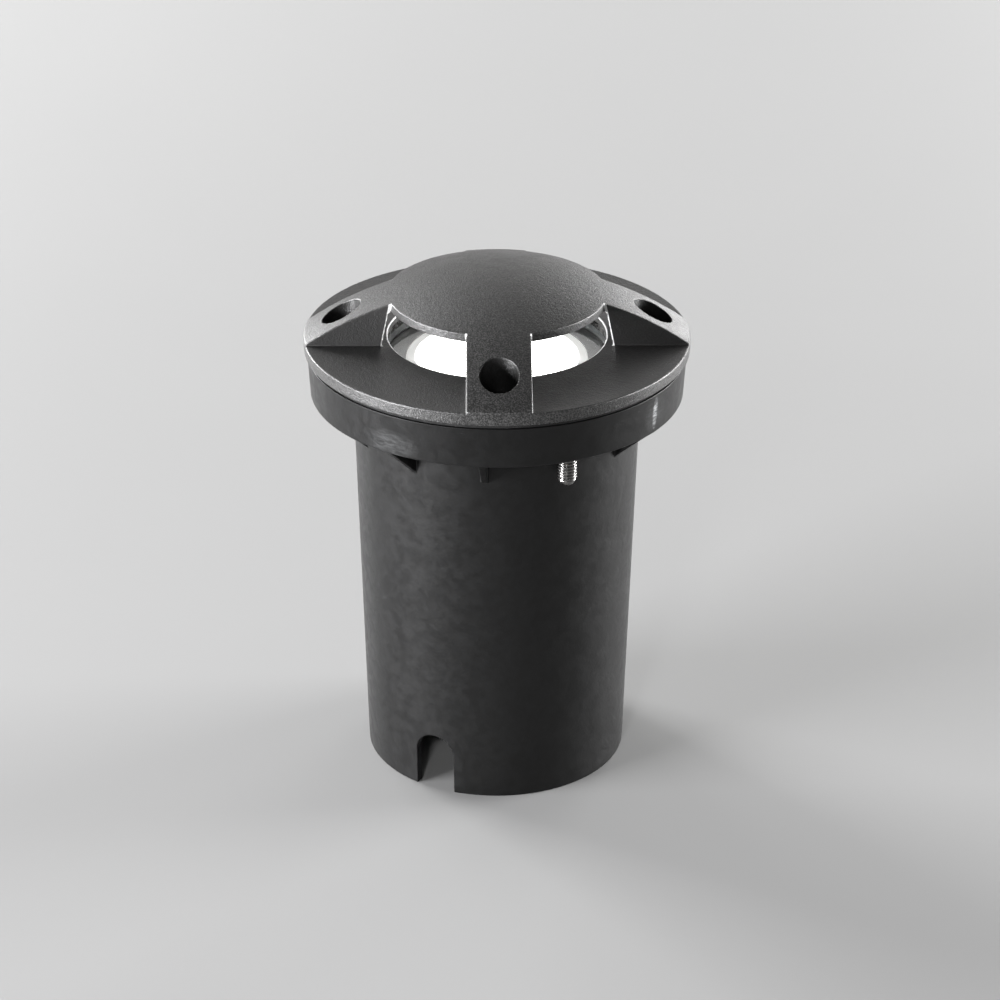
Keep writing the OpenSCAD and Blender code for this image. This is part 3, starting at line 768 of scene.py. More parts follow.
@dataclass(frozen=True)
class MouldedPlastic(Finish):
    """Black moulded plastic: semi-matte, with glossier clouds and painted highlights on the collar.

    Its textures are in metres. streak_turn is the length along the collar that a radian
    counts as, so that the painted highlights break up into level streaks.
    """

    colour: float = 0.003
    lighter: float = 1.3
    warm: float = 0.02
    gloss: float = 0.36
    matte: float = 0.45
    shine: float = 0.28
    patch: float = 0.0045
    tint_patch: float = 0.00225
    skin: float = 0.0007
    skin_depth: float = 0.00003
    wave: float = 0.011
    wave_depth: float = 0.00005
    strength: float = 0.6
    highlight_colour: float = 0.35
    streak: float = 0.0008
    streak_low: float = 0.25
    streak_turn: float = 0.015
    collar_highlights: tuple[CollarHighlight, ...] = (
        CollarHighlight(-0.59, 0.17, 3.6, 5.0, 0.09),
        CollarHighlight(0.945, 0.024, 7.0, 6.0, 0.9),
        CollarHighlight(0.945, 0.10, 7.0, 6.5, 0.08))

    def painted_highlights(self, surface: Surface) -> bpy.types.NodeSocket:
        """Mask of the painted highlights on the collar's wall.

        Args:
            surface: The material in the making.

        Returns:
            The mask, broken into short level streaks.
        """
        calc, tree = surface.calc, surface.tree
        x, y, z = xyz(tree, surface.place)
        turn = calc("ARCTAN2", x, calc("MULTIPLY", y, -1.0))
        rise = calc("SUBTRACT", calc("DIVIDE", z, MM), GroundSleeve().tube_h)
        total: Any = 0.0
        # Each patch is a painted highlight of the collar's gloss.
        for gleam in self.collar_highlights:
            side = calc("DIVIDE", calc("SUBTRACT", turn, gleam.turn), gleam.wide)
            up = calc("DIVIDE", calc("SUBTRACT", rise, gleam.rise), gleam.tall)
            off = calc("MULTIPLY_ADD", side, side, calc("MULTIPLY", up, up))
            mark = calc("MAXIMUM", calc("SUBTRACT", 1.0, off), 0.0)
            total = calc("MULTIPLY_ADD", mark, gleam.strength, total)
        flat = put(tree, "ShaderNodeCombineXYZ", {0: calc("MULTIPLY", turn, self.streak_turn), 2: z})
        streaks = surface.clouds(self.streak, self.streak_low, place=flat.outputs[0])
        return calc("MULTIPLY", calc("MULTIPLY", total, streaks), calc("GREATER_THAN", rise, 0.0))

    def material(self) -> bpy.types.Material:
        """Clouds of gloss over a fine skin, and a slow waviness of the wall.

        Returns:
            The material.
        """
        surface = Surface(self.name)
        plain = surface.blend(surface.clouds(self.tint_patch), rgb(self.colour, self.warm),
                              rgb(self.colour * self.lighter, -self.warm))
        under = surface.bump(surface.clouds(self.wave), self.wave_depth, self.strength)
        surface.bump(surface.grain(self.skin)[0], self.skin_depth, self.strength, under)
        # The painted highlights lighten the base colour.
        return surface.done({
            "Base Color": surface.blend(self.painted_highlights(surface), plain, rgb(self.highlight_colour, -self.warm)),
            "Roughness": surface.clouds(self.patch, self.gloss, self.matte),
            "Specular IOR Level": self.shine})


@dataclass(frozen=True)
class Metal(Finish):
    """Bare metal, turned, cast or polished.

    turning is the pitch of its lathe lines and grain the size of its cast texture, in
    metres. Their depths are shares of those.
    """

    colour: float = 0.6
    warm: float = 0.0
    rough: float = 0.3
    turning: float = 0.0
    grain: float = 0.0
    stain: float = 0.85
    stain_size: float = 0.004
    rough_size: float = 0.003
    rough_low: float = 0.85
    rough_high: float = 1.2
    turning_depth: float = 0.08
    turning_strength: float = 0.6
    grain_depth: float = 0.12
    grain_strength: float = 0.7

    def material(self) -> bpy.types.Material:
        """Metal with handling stains, and turning lines or a cast grain where it has them.

        Returns:
            The material.
        """
        surface = Surface(self.name)
        if self.turning:
            surface.bump(surface.turning(self.turning), self.turning * self.turning_depth,
                         self.turning_strength)
        elif self.grain:
            surface.bump(surface.grain(self.grain)[0], self.grain * self.grain_depth, self.grain_strength)
        stained = rgb(self.colour * self.stain, self.warm)
        return surface.done({
            "Base Color": surface.blend(surface.clouds(self.stain_size), stained,
                                        rgb(self.colour, self.warm)),
            "Metallic": 1.0,
            "Roughness": surface.clouds(self.rough_size, self.rough * self.rough_low,
                                        self.rough * self.rough_high)})


@dataclass(frozen=True)
class Polymer(Finish):
    """Plain plastics and rubbers, by colour, gloss and the size of their texture in metres."""

    colour: tuple[float, float, float] = (0.02, 0.02, 0.02)
    rough: float = 0.5
    grain: float = 0.0005
    depth: float = 0.00002
    strength: float = 0.6
    darker: float = 0.86
    tint_size: float = 0.006
    rough_size: float = 0.004
    rough_step: float = 0.08

    def material(self) -> bpy.types.Material:
        """Slightly uneven colour over a fine moulded texture.

        Returns:
            The material.
        """
        surface = Surface(self.name)
        low = tuple(part * self.darker for part in self.colour) + (1.0,)
        surface.bump(surface.grain(self.grain)[0], self.depth, self.strength)
        return surface.done({
            "Base Color": surface.blend(surface.clouds(self.tint_size), low, self.colour + (1.0,)),
            "Roughness": surface.clouds(self.rough_size, self.rough * (1 - self.rough_step),
                                        self.rough * (1 + self.rough_step))})


@dataclass(frozen=True)
class ClearGlass(Finish):
    """Toughened glass with a green edge, which lets light and shadow rays through."""

    green: tuple[float, float, float, float] = (0.98, 0.992, 0.988, 1.0)
    clear: tuple[float, float, float, float] = (0.985, 0.996, 0.992, 1.0)
    shade: tuple[float, float, float, float] = (0.96, 0.97, 0.965, 1.0)
    tint_size: float = 0.03
    bending: float = 1.5

    def material(self) -> bpy.types.Material:
        """Clear glass, faintly uneven in tint, that casts no caustics and no shadow.

        Returns:
            The material.
        """
        surface = Surface(self.name)
        tree = surface.tree
        path = put(tree, "ShaderNodeLightPath").outputs
        passing = surface.calc("MAXIMUM", path["Is Shadow Ray"], path["Is Diffuse Ray"])
        through = put(tree, "ShaderNodeBsdfTransparent", {"Color": self.shade})
        mixed = put(tree, "ShaderNodeMixShader", {
            0: passing, 1: surface.shader.outputs[0], 2: through.outputs[0]})
        fill(tree, surface.output, {"Surface": mixed.outputs[0]})
        return surface.done({
            "Base Color": surface.blend(surface.clouds(self.tint_size), self.green, self.clear),
            "Transmission Weight": 1.0, "IOR": self.bending, "Roughness": 0.0})


@dataclass(frozen=True)
class OpalGlow(Finish):
    """Opal diffuser lit from behind: even white with a dimmer band at its edge.

    Lengths are in metres. strength is the light of its middle, and edge that of its band.
    """

    radius: float = 0.0278
    band: float = 0.0028
    soft: float = 0.0004
    strength: float = 6.0
    edge: float = 0.52
    edge_warm: float = 0.02
    milk_size: float = 0.008
    rough: float = 0.35
    body: tuple[float, float, float, float] = (0.86, 0.86, 0.85, 1.0)
    warm_milk: tuple[float, float, float, float] = (0.97, 0.955, 0.93, 1.0)
    white_milk: tuple[float, float, float, float] = (1.0, 0.985, 0.96, 1.0)

    def material(self) -> bpy.types.Material:
        """White plastic whose own light falls off over the band at its edge.

        Returns:
            The material.
        """
        surface = Surface(self.name)
        tree = surface.tree
        x, y, _ = xyz(tree, surface.place)
        start = self.radius - self.band
        fall = put(tree, "ShaderNodeMapRange", {
            0: length(tree, x, y), 1: start - self.soft, 2: start + self.soft, 3: 0.0, 4: 1.0})
        heart = surface.blend(surface.clouds(self.milk_size), self.warm_milk, self.white_milk)
        return surface.done({
            "Base Color": self.body, "Roughness": self.rough, "Emission Strength": self.strength,
            "Emission Color": surface.blend(fall.outputs[0], heart,
                                            rgb(self.edge / self.strength, self.edge_warm))})


@dataclass(frozen=True)
class LedGlow(Finish):
    """Yellow phosphor of the LED packages, dimly lit."""

    grain: float = 0.0003
    crests: float = 0.6
    rough: float = 0.6
    strength: float = 1.5
    dark: tuple[float, float, float, float] = (0.72, 0.5, 0.05, 1.0)
    light: tuple[float, float, float, float] = (0.9, 0.68, 0.12, 1.0)
    glow: tuple[float, float, float, float] = (1.0, 0.93, 0.72, 1.0)

    def material(self) -> bpy.types.Material:
        """Grainy phosphor with a little light of its own.

        Returns:
            The material.
        """
        surface = Surface(self.name)
        speck = surface.grain(self.grain, self.crests)[1]
        return surface.done({
            "Base Color": surface.blend(speck, self.dark, self.light), "Emission Color": self.glow,
            "Emission Strength": self.strength, "Roughness": self.rough})


@dataclass
class Finishes:
    """Every finish of the light, and the material of each once it is first used."""

    made: dict[str, bpy.types.Material] = field(default_factory=dict)
    kinds: dict[str, Finish] = field(default_factory=lambda: {finish.slot: finish for finish in (
        MouldedPlastic("sleeve_plastic", "black_plastic"),
        PowderCoat("graphite_powder_coat", "powder_coat"),
        Metal("stainless_steel", "stainless", 0.19, warm=0.02, rough=0.27),
        Metal("brass_insert", "brass", 0.62, warm=0.32, rough=0.3, turning=0.0003),
        Polymer("black_rubber_seal", "black_rubber", (0.003, 0.003, 0.003), 0.9),
        Polymer("grey_silicone", "silicone", (0.52, 0.53, 0.54), 0.5, grain=0.0008),
        Metal("die_cast_aluminium", "cast_aluminium", 0.20, rough=0.5, grain=0.0007, stain=0.9),
        Metal("machined_aluminium", "machined_aluminium", 0.45, rough=0.32, turning=0.0004),
        Metal("satin_reflector", "reflector_aluminium", 0.24, rough=0.34, stain=0.96),
        ClearGlass("toughened_glass", "clear_glass"),
        OpalGlow("lit_opal", "opal_plastic"),
        Polymer("white_solder_mask", "board_white", (0.8, 0.81, 0.79), 0.35, grain=0.0006, depth=0.00001),
        LedGlow("led_phosphor", "led_phosphor"),
        Polymer("red_sheath", "lead_sheath", (0.42, 0.02, 0.015), 0.4, grain=0.0006),
        Polymer("driver_shell", "driver_plastic", (0.03, 0.032, 0.036), 0.5, grain=0.0008, depth=0.00004),
        Polymer("terminal_shell", "terminal_plastic", (0.72, 0.71, 0.66), 0.42, grain=0.0006),
        Polymer("gland_nylon", "gland_nylon", (0.035, 0.037, 0.04), 0.42, grain=0.0006),
        Polymer("washer_nylon", "washer_nylon", (0.012, 0.012, 0.013), 0.5, grain=0.0005))})

    def get(self, slot: str) -> bpy.types.Material:
        """The material of a slot, made on first use.

        Args:
            slot: The record's material slot.

        Returns:
            The material.
        """
        if slot not in self.made:
            self.made[slot] = self.kinds[slot].material()
        return self.made[slot]


FINISHES = Finishes()


def dress(obj: bpy.types.Object, slot: str, body: str, node: str) -> None:
    """Gives a finished piece its material, its body and the CAD node that it stands for.

    Args:
        obj: The piece.
        slot: The record's material slot.
        body: The CAD body that it rides on.
        node: The CAD node that it replaces.
    """
    obj.data.materials.clear()
    obj.data.materials.append(FINISHES.get(slot))
    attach(obj, body)
    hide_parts(node)
    LOG.info("%s: %s on %s", obj.name, slot, body)


def dress_node(node: str, slot: str) -> None:
    """Gives a CAD node that stays its material.

    Args:
        node: Name of the node.
        slot: The record's material slot.
    """
    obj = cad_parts[node]
    for place in obj.material_slots:
        place.material = FINISHES.get(slot)
    LOG.info("%s: kept, %s", node, slot)


# Fasteners


def azimuths(count: int, start: float) -> list[float]:
    """Azimuths in radians of evenly spread places, the first at start degrees from the front."""
    return [math.radians(start + 360 / count * k) for k in range(count)]


@dataclass(frozen=True)
class BoltCircle:
    """Circle that like pieces stand on.

    Args:
        count: Number of pieces.
        radius: Its radius in millimetres.
        start: Azimuth of the first piece from the front, in degrees.
    """

    count: int
    radius: float
    start: float = 0.0


@dataclass
class CopyRing:
    """Geometry Nodes tree that sets copies of a piece round the vertical axis."""

    tree: bpy.types.NodeTree | None = None
    sockets: dict[str, str] = field(default_factory=dict)

    def build(self) -> None:
        """Makes the tree with its named inputs."""
        tree = bpy.data.node_groups.new("ring_of_copies", "GeometryNodeTree")
        face = tree.interface
        face.new_socket("Geometry", in_out="OUTPUT", socket_type="NodeSocketGeometry")
        for name, kind in (("Piece", "NodeSocketObject"), ("Count", "NodeSocketInt"),
                           ("Radius", "NodeSocketFloat"), ("Start", "NodeSocketFloat"),
                           ("Finish", "NodeSocketMaterial")):
            self.sockets[name] = face.new_socket(name, in_out="INPUT", socket_type=kind).identifier
        enter = put(tree, "NodeGroupInput").outputs
        number = put(tree, "GeometryNodeInputIndex").outputs[0]
        step = sums(tree, "DIVIDE", 2 * math.pi, enter["Count"])
        angle = sums(tree, "MULTIPLY_ADD", number, step, enter["Start"])
        ahead = sums(tree, "MULTIPLY", enter["Radius"], -1.0)
        spot = put(tree, "ShaderNodeCombineXYZ", {
            0: sums(tree, "MULTIPLY", sums(tree, "SINE", angle), enter["Radius"]),
            1: sums(tree, "MULTIPLY", sums(tree, "COSINE", angle), ahead)})
        points = put(tree, "GeometryNodePoints", {"Count": enter["Count"], "Position": spot.outputs[0]})
        piece = put(tree, "GeometryNodeObjectInfo", {"Object": enter["Piece"]}, transform_space="ORIGINAL")
        turn = put(tree, "ShaderNodeCombineXYZ", {2: angle})
        copies = put(tree, "GeometryNodeInstanceOnPoints", {
            "Points": points.outputs[0], "Instance": piece.outputs["Geometry"], "Rotation": turn.outputs[0]})
        real = put(tree, "GeometryNodeRealizeInstances", {0: copies.outputs[0]})
        skin = put(tree, "GeometryNodeSetMaterial", {
            "Geometry": real.outputs[0], "Material": enter["Finish"]})
        put(tree, "NodeGroupOutput", {0: skin.outputs[0]})
        self.tree = tree

    def lay(self, name: str, piece: bpy.types.Object, circle: BoltCircle, slot: str, body: str,
            node: str) -> None:
        """Sets copies of a piece out, joins them in one mesh and dresses it.

        Args:
            name: Name of the new object.
            piece: The piece, upright at the origin. It is removed.
            circle: The circle that the copies stand on.
            slot: The record's material slot.
            body: The CAD body that the copies ride on.
            node: The CAD node that they replace.
        """
        if self.tree is None:
            self.build()
        obj = in_scene(name, bpy.data.meshes.new(name))
        rule = obj.modifiers.new("copies", "NODES")
        rule.node_group = self.tree
        for key, value in (("Piece", piece), ("Count", circle.count), ("Radius", circle.radius * MM),
                           ("Start", math.radians(circle.start)), ("Finish", FINISHES.get(slot))):
            rule[self.sockets[key]] = value
        made_plain(obj)
        obj.data.name = name
        obj.data.shade_smooth()
        bpy.data.objects.remove(piece)
        dress(obj, slot, body, node)


RING = CopyRing()


@dataclass
class Screw:
    """A button-head screw with a hexagon socket and a real thread, in millimetres.

    The fields from thread_depth to fade_turns are in pitches. Those from point on are
    shares: point and flats of the size, crown of the head's radius, the rest of its height.

    Args:
        length: Length under the head.
        seat: Height of the seat of the head.
        size: Diameter of the thread.
        pitch: Pitch of the thread.
        head_d: Diameter of the head.
        head_h: Height of the head.
    """

    length: float
    seat: float
    size: float = 6.0
    pitch: float = 1.0
    head_d: float = 10.5
    head_h: float = 3.3
    steps: int = 48
    turn_rows: int = 9
    crown_rows: int = 8
    tip_step: float = 0.15
    neck: float = 0.3
    gap: float = 0.001
    head_edge: float = 0.15
    socket_edge: float = 0.14
    thread_depth: float = 0.40
    thread_end: float = 0.6
    ridge_top: float = 1.45
    ridge_slope: float = 2.9
    lead_turns: float = 2.4
    fade_turns: float = 0.4
    point: float = 0.25
    flats: float = 0.385
    crown: float = 0.56
    rim: float = 0.12
    socket_floor: float = 0.4
    drill_edge: float = 0.34
    drill_tip: float = 0.28
    drill_r: float = 0.55
    rows: list[tuple[np.ndarray, np.ndarray]] = field(default_factory=list)

    def row(self, radius: Any, height: Any) -> None:
        """Adds a ring of points.

        Args:
            radius: One radius, or one for each step.
            height: One height above the seat, or one for each step.
        """
        ones = np.ones(self.steps)
        self.rows.append((ones * radius, ones * height))

    def thread(self, angle: np.ndarray) -> None:
        """Adds the thread, from its point up to the neck under the head.

        Args:
            angle: Azimuth of each step in radians.
        """
        big, depth = self.size / 2, self.thread_depth * self.pitch
        tip, point = -self.length, self.point * self.size
        self.row(point, tip)
        for z in np.arange(tip + self.tip_step, -self.thread_end * self.pitch, self.pitch / self.turn_rows):
            share = (z / self.pitch - angle / (2 * math.pi)) % 1.0
            ridge = np.clip(self.ridge_top - self.ridge_slope * np.abs(share - 0.5), 0.0, 1.0)
            lead = point + (big - point) * math.sqrt(min((z - tip) / (self.lead_turns * self.pitch), 1.0))
            fade = np.clip(-z / self.pitch - self.fade_turns, 0.0, 1.0)
            self.row(np.minimum(big - depth * (1 - ridge * fade), lead), z)
        self.row(big - depth, -self.neck)
        self.row(big, -self.gap)

    def head(self, angle: np.ndarray) -> None:
        """Adds the head with its socket.

        Args:
            angle: Azimuth of each step in radians.
        """
        edge = self.head_d / 2
        self.row(edge - self.head_edge, 0.0)
        self.row(edge, self.head_edge)
        rim, crown = self.rim * self.head_h, self.crown * edge
        for k in range(self.crown_rows + 1):
            t = k / self.crown_rows * math.pi / 2
            self.row(crown + (edge - crown) * math.cos(t), rim + (self.head_h - rim) * math.sin(t))
        sixth = math.pi / 6
        six = self.flats * self.size * math.cos(sixth) / np.cos((angle + sixth) % (2 * sixth) - sixth)
        self.row(six + self.socket_edge, self.head_h)
        self.row(six, self.head_h - self.socket_edge)
        self.row(six, self.socket_floor * self.head_h)
        self.row(self.drill_r * six, self.drill_edge * self.head_h)

    def make(self, name: str) -> bpy.types.Object:
        """The screw, upright at the origin.

        Args:
            name: Name of the object.

        Returns:
            The object.
        """
        angle = np.arange(self.steps) * 2 * math.pi / self.steps
        self.rows.clear()
        self.thread(angle)
        self.head(angle)
        radius, height = (np.array(part) for part in zip(*self.rows))
        ends = (self.seat - self.length, self.seat + self.drill_tip * self.head_h)
        return ringed(name, radius, height + self.seat, ends)


# Guard


@dataclass
class GuardCover:
    """The cast guard: rim, window floor, four legs, dome, feet and screw wells.

    Sizes are in millimetres. Those named round, edge or crease are radii of roundings, and
    margins are in steps of the grid that the mesh is made on.
    """

    outer_r: float = 60.0
    base_z: float = 138.6
    floor_z: float = 142.6
    under_z: float = 140.2
    skirt_r: float = 56.6
    opening_r: float = 34.0
    ball_r: float = 102.5
    ball_z: float = 59.896
    wall: float = 2.6
    leg_half: float = 9.8
    leg_foot_r: float = 37.0
    leg_lean: float = 0.196
    leg_scale: float = 0.981
    well_r: float = 5.9
    well_z: float = 137.4
    foot_r: float = 7.3
    foot_z: float = 134.8
    foot_edge_r: float = 54.9
    hole_r: float = 3.3
    head_seat: float = 137.9
    screws: BoltCircle = BoltCircle(4, 48.2)
    screw_length: float = 10.0
    washer_r: float = 5.4
    washer_edge: float = 0.12
    washer_steps: int = 64
    edge: float = 0.28
    crease: float = 0.35
    lap: float = 0.8
    rim_split: float = 1.5
    rim_low_round: float = 0.5
    rim_join_round: float = 0.3
    rim_top_round: float = 0.4
    foot_top_round: float = 0.1
    foot_side_round: float = 0.2
    well_floor_round: float = 0.2
    well_round: float = 0.22
    hole_round: float = 0.15
    step: float = 0.44
    quick_step: float = 0.8
    tall_step: float = 0.9
    side_margins: tuple[float, float] = (1.3, 1.4)
    tall_margins: tuple[float, float] = (1.1, 1.2)

    def shape(self, x: np.ndarray, y: np.ndarray, z: np.ndarray) -> np.ndarray:
        """Signed distance to the guard in millimetres.

        Args:
            x: Places along X.
            y: Places along Y.
            z: Heights.

        Returns:
            The distances.
        """
        u, v = np.minimum(np.abs(x), np.abs(y)), np.maximum(np.abs(x), np.abs(y))
        rho = np.hypot(x, y)
        ball = np.hypot(rho, z - self.ball_z)
        plan = round_min(rho - self.opening_r, u - self.leg_half, self.crease)
        cone = (rho - self.leg_foot_r + self.leg_lean * (z - self.floor_z)) * self.leg_scale
        hollow = round_max(ball - self.ball_r + self.wall, cone, self.crease)
        upper = round_max(round_max(plan, ball - self.ball_r, self.edge), -hollow, self.edge)
        upper = np.maximum(upper, self.under_z + self.lap - z)
        plate = round_max(z - self.floor_z, self.opening_r - rho, self.edge)
        under = round_max(z - self.under_z, rho - self.skirt_r, self.crease)
        plate = round_max(np.maximum(plate, self.base_z - z), -under, self.edge)
        solid = round_min(plate, upper, self.crease)
        low = round_max(rho - self.outer_r, self.base_z - z, self.rim_low_round)
        solid = np.where(z < self.floor_z - self.rim_split, round_max(solid, low, self.rim_join_round),
                         round_max(solid, rho - self.outer_r, self.rim_top_round))
        q = np.hypot(u, v - self.screws.radius)
        foot = round_max(q - self.foot_r, self.foot_z - z, self.edge)
        foot = round_max(foot, z - self.under_z - self.lap, self.foot_top_round)
        foot = round_max(foot, rho - self.foot_edge_r, self.foot_side_round)
        well = round_max(q - self.well_r, self.well_z - z, self.well_floor_round)
        solid = round_max(round_min(solid, foot, self.crease), -well, self.well_round)
        return round_max(solid, self.hole_r - q, self.hole_round)

    def build(self) -> None:
        """Builds and dresses the guard, its screws and their washers."""
        step = self.step
        before, after = self.side_margins
        flat = np.arange(-self.outer_r - before * step, self.outer_r + after * step, step)
        flat = flat - flat.mean()
        below, above = self.tall_margins
        tall = np.arange(self.foot_z - below * step, self.ball_z + self.ball_r + above * step,
                         step * self.tall_step)
        guard = Skin(self.shape, (flat, flat.copy(), tall)).make("guard_casting")
        dress(guard, "powder_coat", "cover", "guard_cover")
        screw = Screw(self.screw_length, self.head_seat).make("cover_screw")
        RING.lay("cover_screw_set", screw, self.screws, "stainless", "cover", "cover_screws")
        washer = Band(self.hole_r, self.washer_r, self.well_z, self.head_seat, self.washer_edge,
                      self.washer_steps).turned("washer")
        RING.lay("screw_washer_set", washer, self.screws, "washer_nylon", "cover", "screw_washers")


# Sleeve


@dataclass
class GroundSleeve:
    """The moulded sleeve: tapered tube, collar, ribs, screw bosses and cable notches.

    Sizes are in millimetres, and angles in degrees from the front. Those named round or
    crease are radii of roundings. The fields from grid_in on set the grid that the mesh is
    made on, which is coarse on the plain length of the wall.
    """

    foot_r: float = 41.4
    top_r: float = 45.0
    tube_h: float = 124.2
    wall: float = 2.8
    floor_z: float = 127.4
    top_z: float = 137.3
    collar_low_r: float = 58.2
    collar_top_r: float = 59.0
    rebate_r: float = 57.4
    rebate_z: float = 134.4
    bore_taper: float = 0.975
    rib_start: float = -5.3
    rib_places: int = 12
    rib_gap: int = 1
    rib_none: float = 6.0
    rib_half: float = 1.1
    rib_z: float = 112.6
    rib_tip_r: float = 57.8
    rib_lap: float = 1.0
    boss_r: float = 7.08
    bore_r: float = 4.68
    boss_top: float = 130.6
    screws: BoltCircle = BoltCircle(2, 49.395, 24.7)
    notches: int = 2
    notch_half: float = 6.5
    notch_z: float = 12.9
    notch_angle: float = -28.6
    notch_from: float = 20.0
    seal_in: float = 57.7
    seal_out: float = 58.3
    seal_top: float = 138.4
    seal_edge: float = 0.2
    seal_steps: int = 256
    insert_r: float = 3.08
    insert_edge: float = 0.25
    insert_steps: int = 72
    lap: float = 1.5
    foot_round: float = 0.35
    collar_low_round: float = 0.45
    collar_top_round: float = 0.12
    neck_crease: float = 0.5
    crease: float = 0.4
    rib_round: float = 0.3
    rib_foot_round: float = 0.2
    recess_crease: float = 0.6
    recess_round: float = 0.35
    boss_round: float = 0.3
    bore_round: float = 0.3
    notch_round: float = 0.25
    grid_in: float = 1.2
    grid_out: float = 1.0
    grid: float = 0.42
    quick_grid: float = 0.8
    turns: int = 760
    quick_turns: int = 420
    tall_step: float = 0.9
    low_grid: tuple[float, float] = (-0.7, 21.0)
    plain_grid: tuple[float, float, int] = (21.6, 110.6, 12)
    high_grid: float = 111.2

    def lean(self) -> float:
        """How much the tube widens for each millimetre of height."""
        return (self.top_r - self.foot_r) / self.tube_h

    def ribs(self, rho: np.ndarray, turn: np.ndarray, z: np.ndarray) -> np.ndarray:
        """Signed distance to the ribs under the collar.

        Args:
            rho: Distances from the axis.
            turn: Azimuths from the front in radians.
            z: Heights.

        Returns:
            The distances.
        """
        pitch = 2 * math.pi / self.rib_places
        place = (turn - math.radians(self.rib_start)) / pitch
        number = np.round(place)
        off = (place - number) * pitch
        across, out = rho * np.sin(off), rho * np.cos(off)
        foot = self.top_r - self.lean() * (self.tube_h - self.rib_z)
        run, rise = self.rib_tip_r - foot, self.tube_h - self.rib_z
        slant = ((out - foot) * rise - (z - self.rib_z) * run) / math.hypot(run, rise)
        rib = round_max(np.abs(across) - self.rib_half, slant, self.rib_round)
        rib = round_max(rib, self.rib_z - z, self.rib_foot_round)
        rib = np.maximum(rib, np.maximum(z - self.tube_h - self.rib_lap, out - self.rib_tip_r))
        return np.where(number % (self.rib_places / 2) == self.rib_gap, self.rib_none, rib)

    def shape(self, x: np.ndarray, y: np.ndarray, z: np.ndarray) -> np.ndarray:
        """Signed distance to the sleeve in millimetres.

        Args:
            x: Places along X.
            y: Places along Y.
            z: Heights.

        Returns:
            The distances.
        """
        rho, turn = np.hypot(x, y), np.arctan2(x, -y)
        flare = (self.collar_top_r - self.collar_low_r) / (self.top_z - self.tube_h)
        tube = round_max(rho - self.foot_r - self.lean() * z, -z, self.foot_round)
        tube = np.maximum(tube, z - self.floor_z + self.lap)
        collar = round_max(rho - self.collar_low_r - flare * (z - self.tube_h), self.tube_h - z,
                           self.collar_low_round)
        collar = round_max(collar, z - self.top_z, self.collar_top_round)
        solid = round_min(tube, collar, self.neck_crease)
        solid = round_min(solid, self.ribs(rho, turn, z), self.crease)
        recess = round_max(self.floor_z - z, rho - self.collar_top_r + self.wall + flare * (self.top_z - z),
                           self.recess_crease)
        recess = np.minimum(recess, np.maximum(self.rebate_z - z, rho - self.rebate_r))
        solid = round_max(solid, -recess, self.recess_round)
        for at in azimuths(self.screws.count, self.screws.start):
            q = np.hypot(x - self.screws.radius * math.sin(at), y + self.screws.radius * math.cos(at))
            boss = round_max(q - self.boss_r, z - self.boss_top, self.boss_round)
            solid = round_min(solid, np.maximum(boss, self.floor_z - self.lap - z), self.crease)
            solid = np.maximum(solid, self.bore_r - q)
        bore = self.foot_r - self.wall + self.lean() * self.bore_taper * z - rho
        solid = round_max(solid, bore, self.bore_round)
        for at in azimuths(self.notches, self.notch_angle):
            across = np.abs(x * math.cos(at) + y * math.sin(at))
            out = x * math.sin(at) - y * math.cos(at)
            arch = np.where(z < self.notch_z, across - self.notch_half,
                            np.hypot(across, z - self.notch_z) - self.notch_half)
            solid = round_max(solid, -np.maximum(arch, self.notch_from - out), self.notch_round)
        return solid

    def build(self) -> None:
        """Builds and dresses the sleeve, the seal on its collar and the screw inserts."""
        grid, turns = ((self.grid, self.turns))
        far = np.arange(self.foot_r - self.wall - self.grid_in, self.collar_top_r + self.grid_out, grid)
        azimuth = np.arange(turns) * 2 * math.pi / turns
        low = np.arange(*self.low_grid, grid * self.tall_step)
        high = np.arange(self.high_grid, self.top_z + self.grid_out, grid * self.tall_step)
        lines = (far, azimuth, np.concatenate([low, np.linspace(*self.plain_grid), high]))
        sleeve = Skin(self.shape, lines, True).make("moulded_sleeve")
        dress(sleeve, "black_plastic", "sleeve", "sleeve")
        seal = Band(self.seal_in, self.seal_out, self.top_z, self.seal_top, self.seal_edge, self.seal_steps)
        dress(seal.turned("collar_seal"), "black_rubber", "sleeve", "rim_gasket")
        insert = Band(self.insert_r, self.bore_r, self.tube_h, self.boss_top, self.insert_edge,
                      self.insert_steps).turned("insert")
        RING.lay("screw_insert_set", insert, self.screws, "brass", "sleeve", "sleeve_inserts")


# Fixture


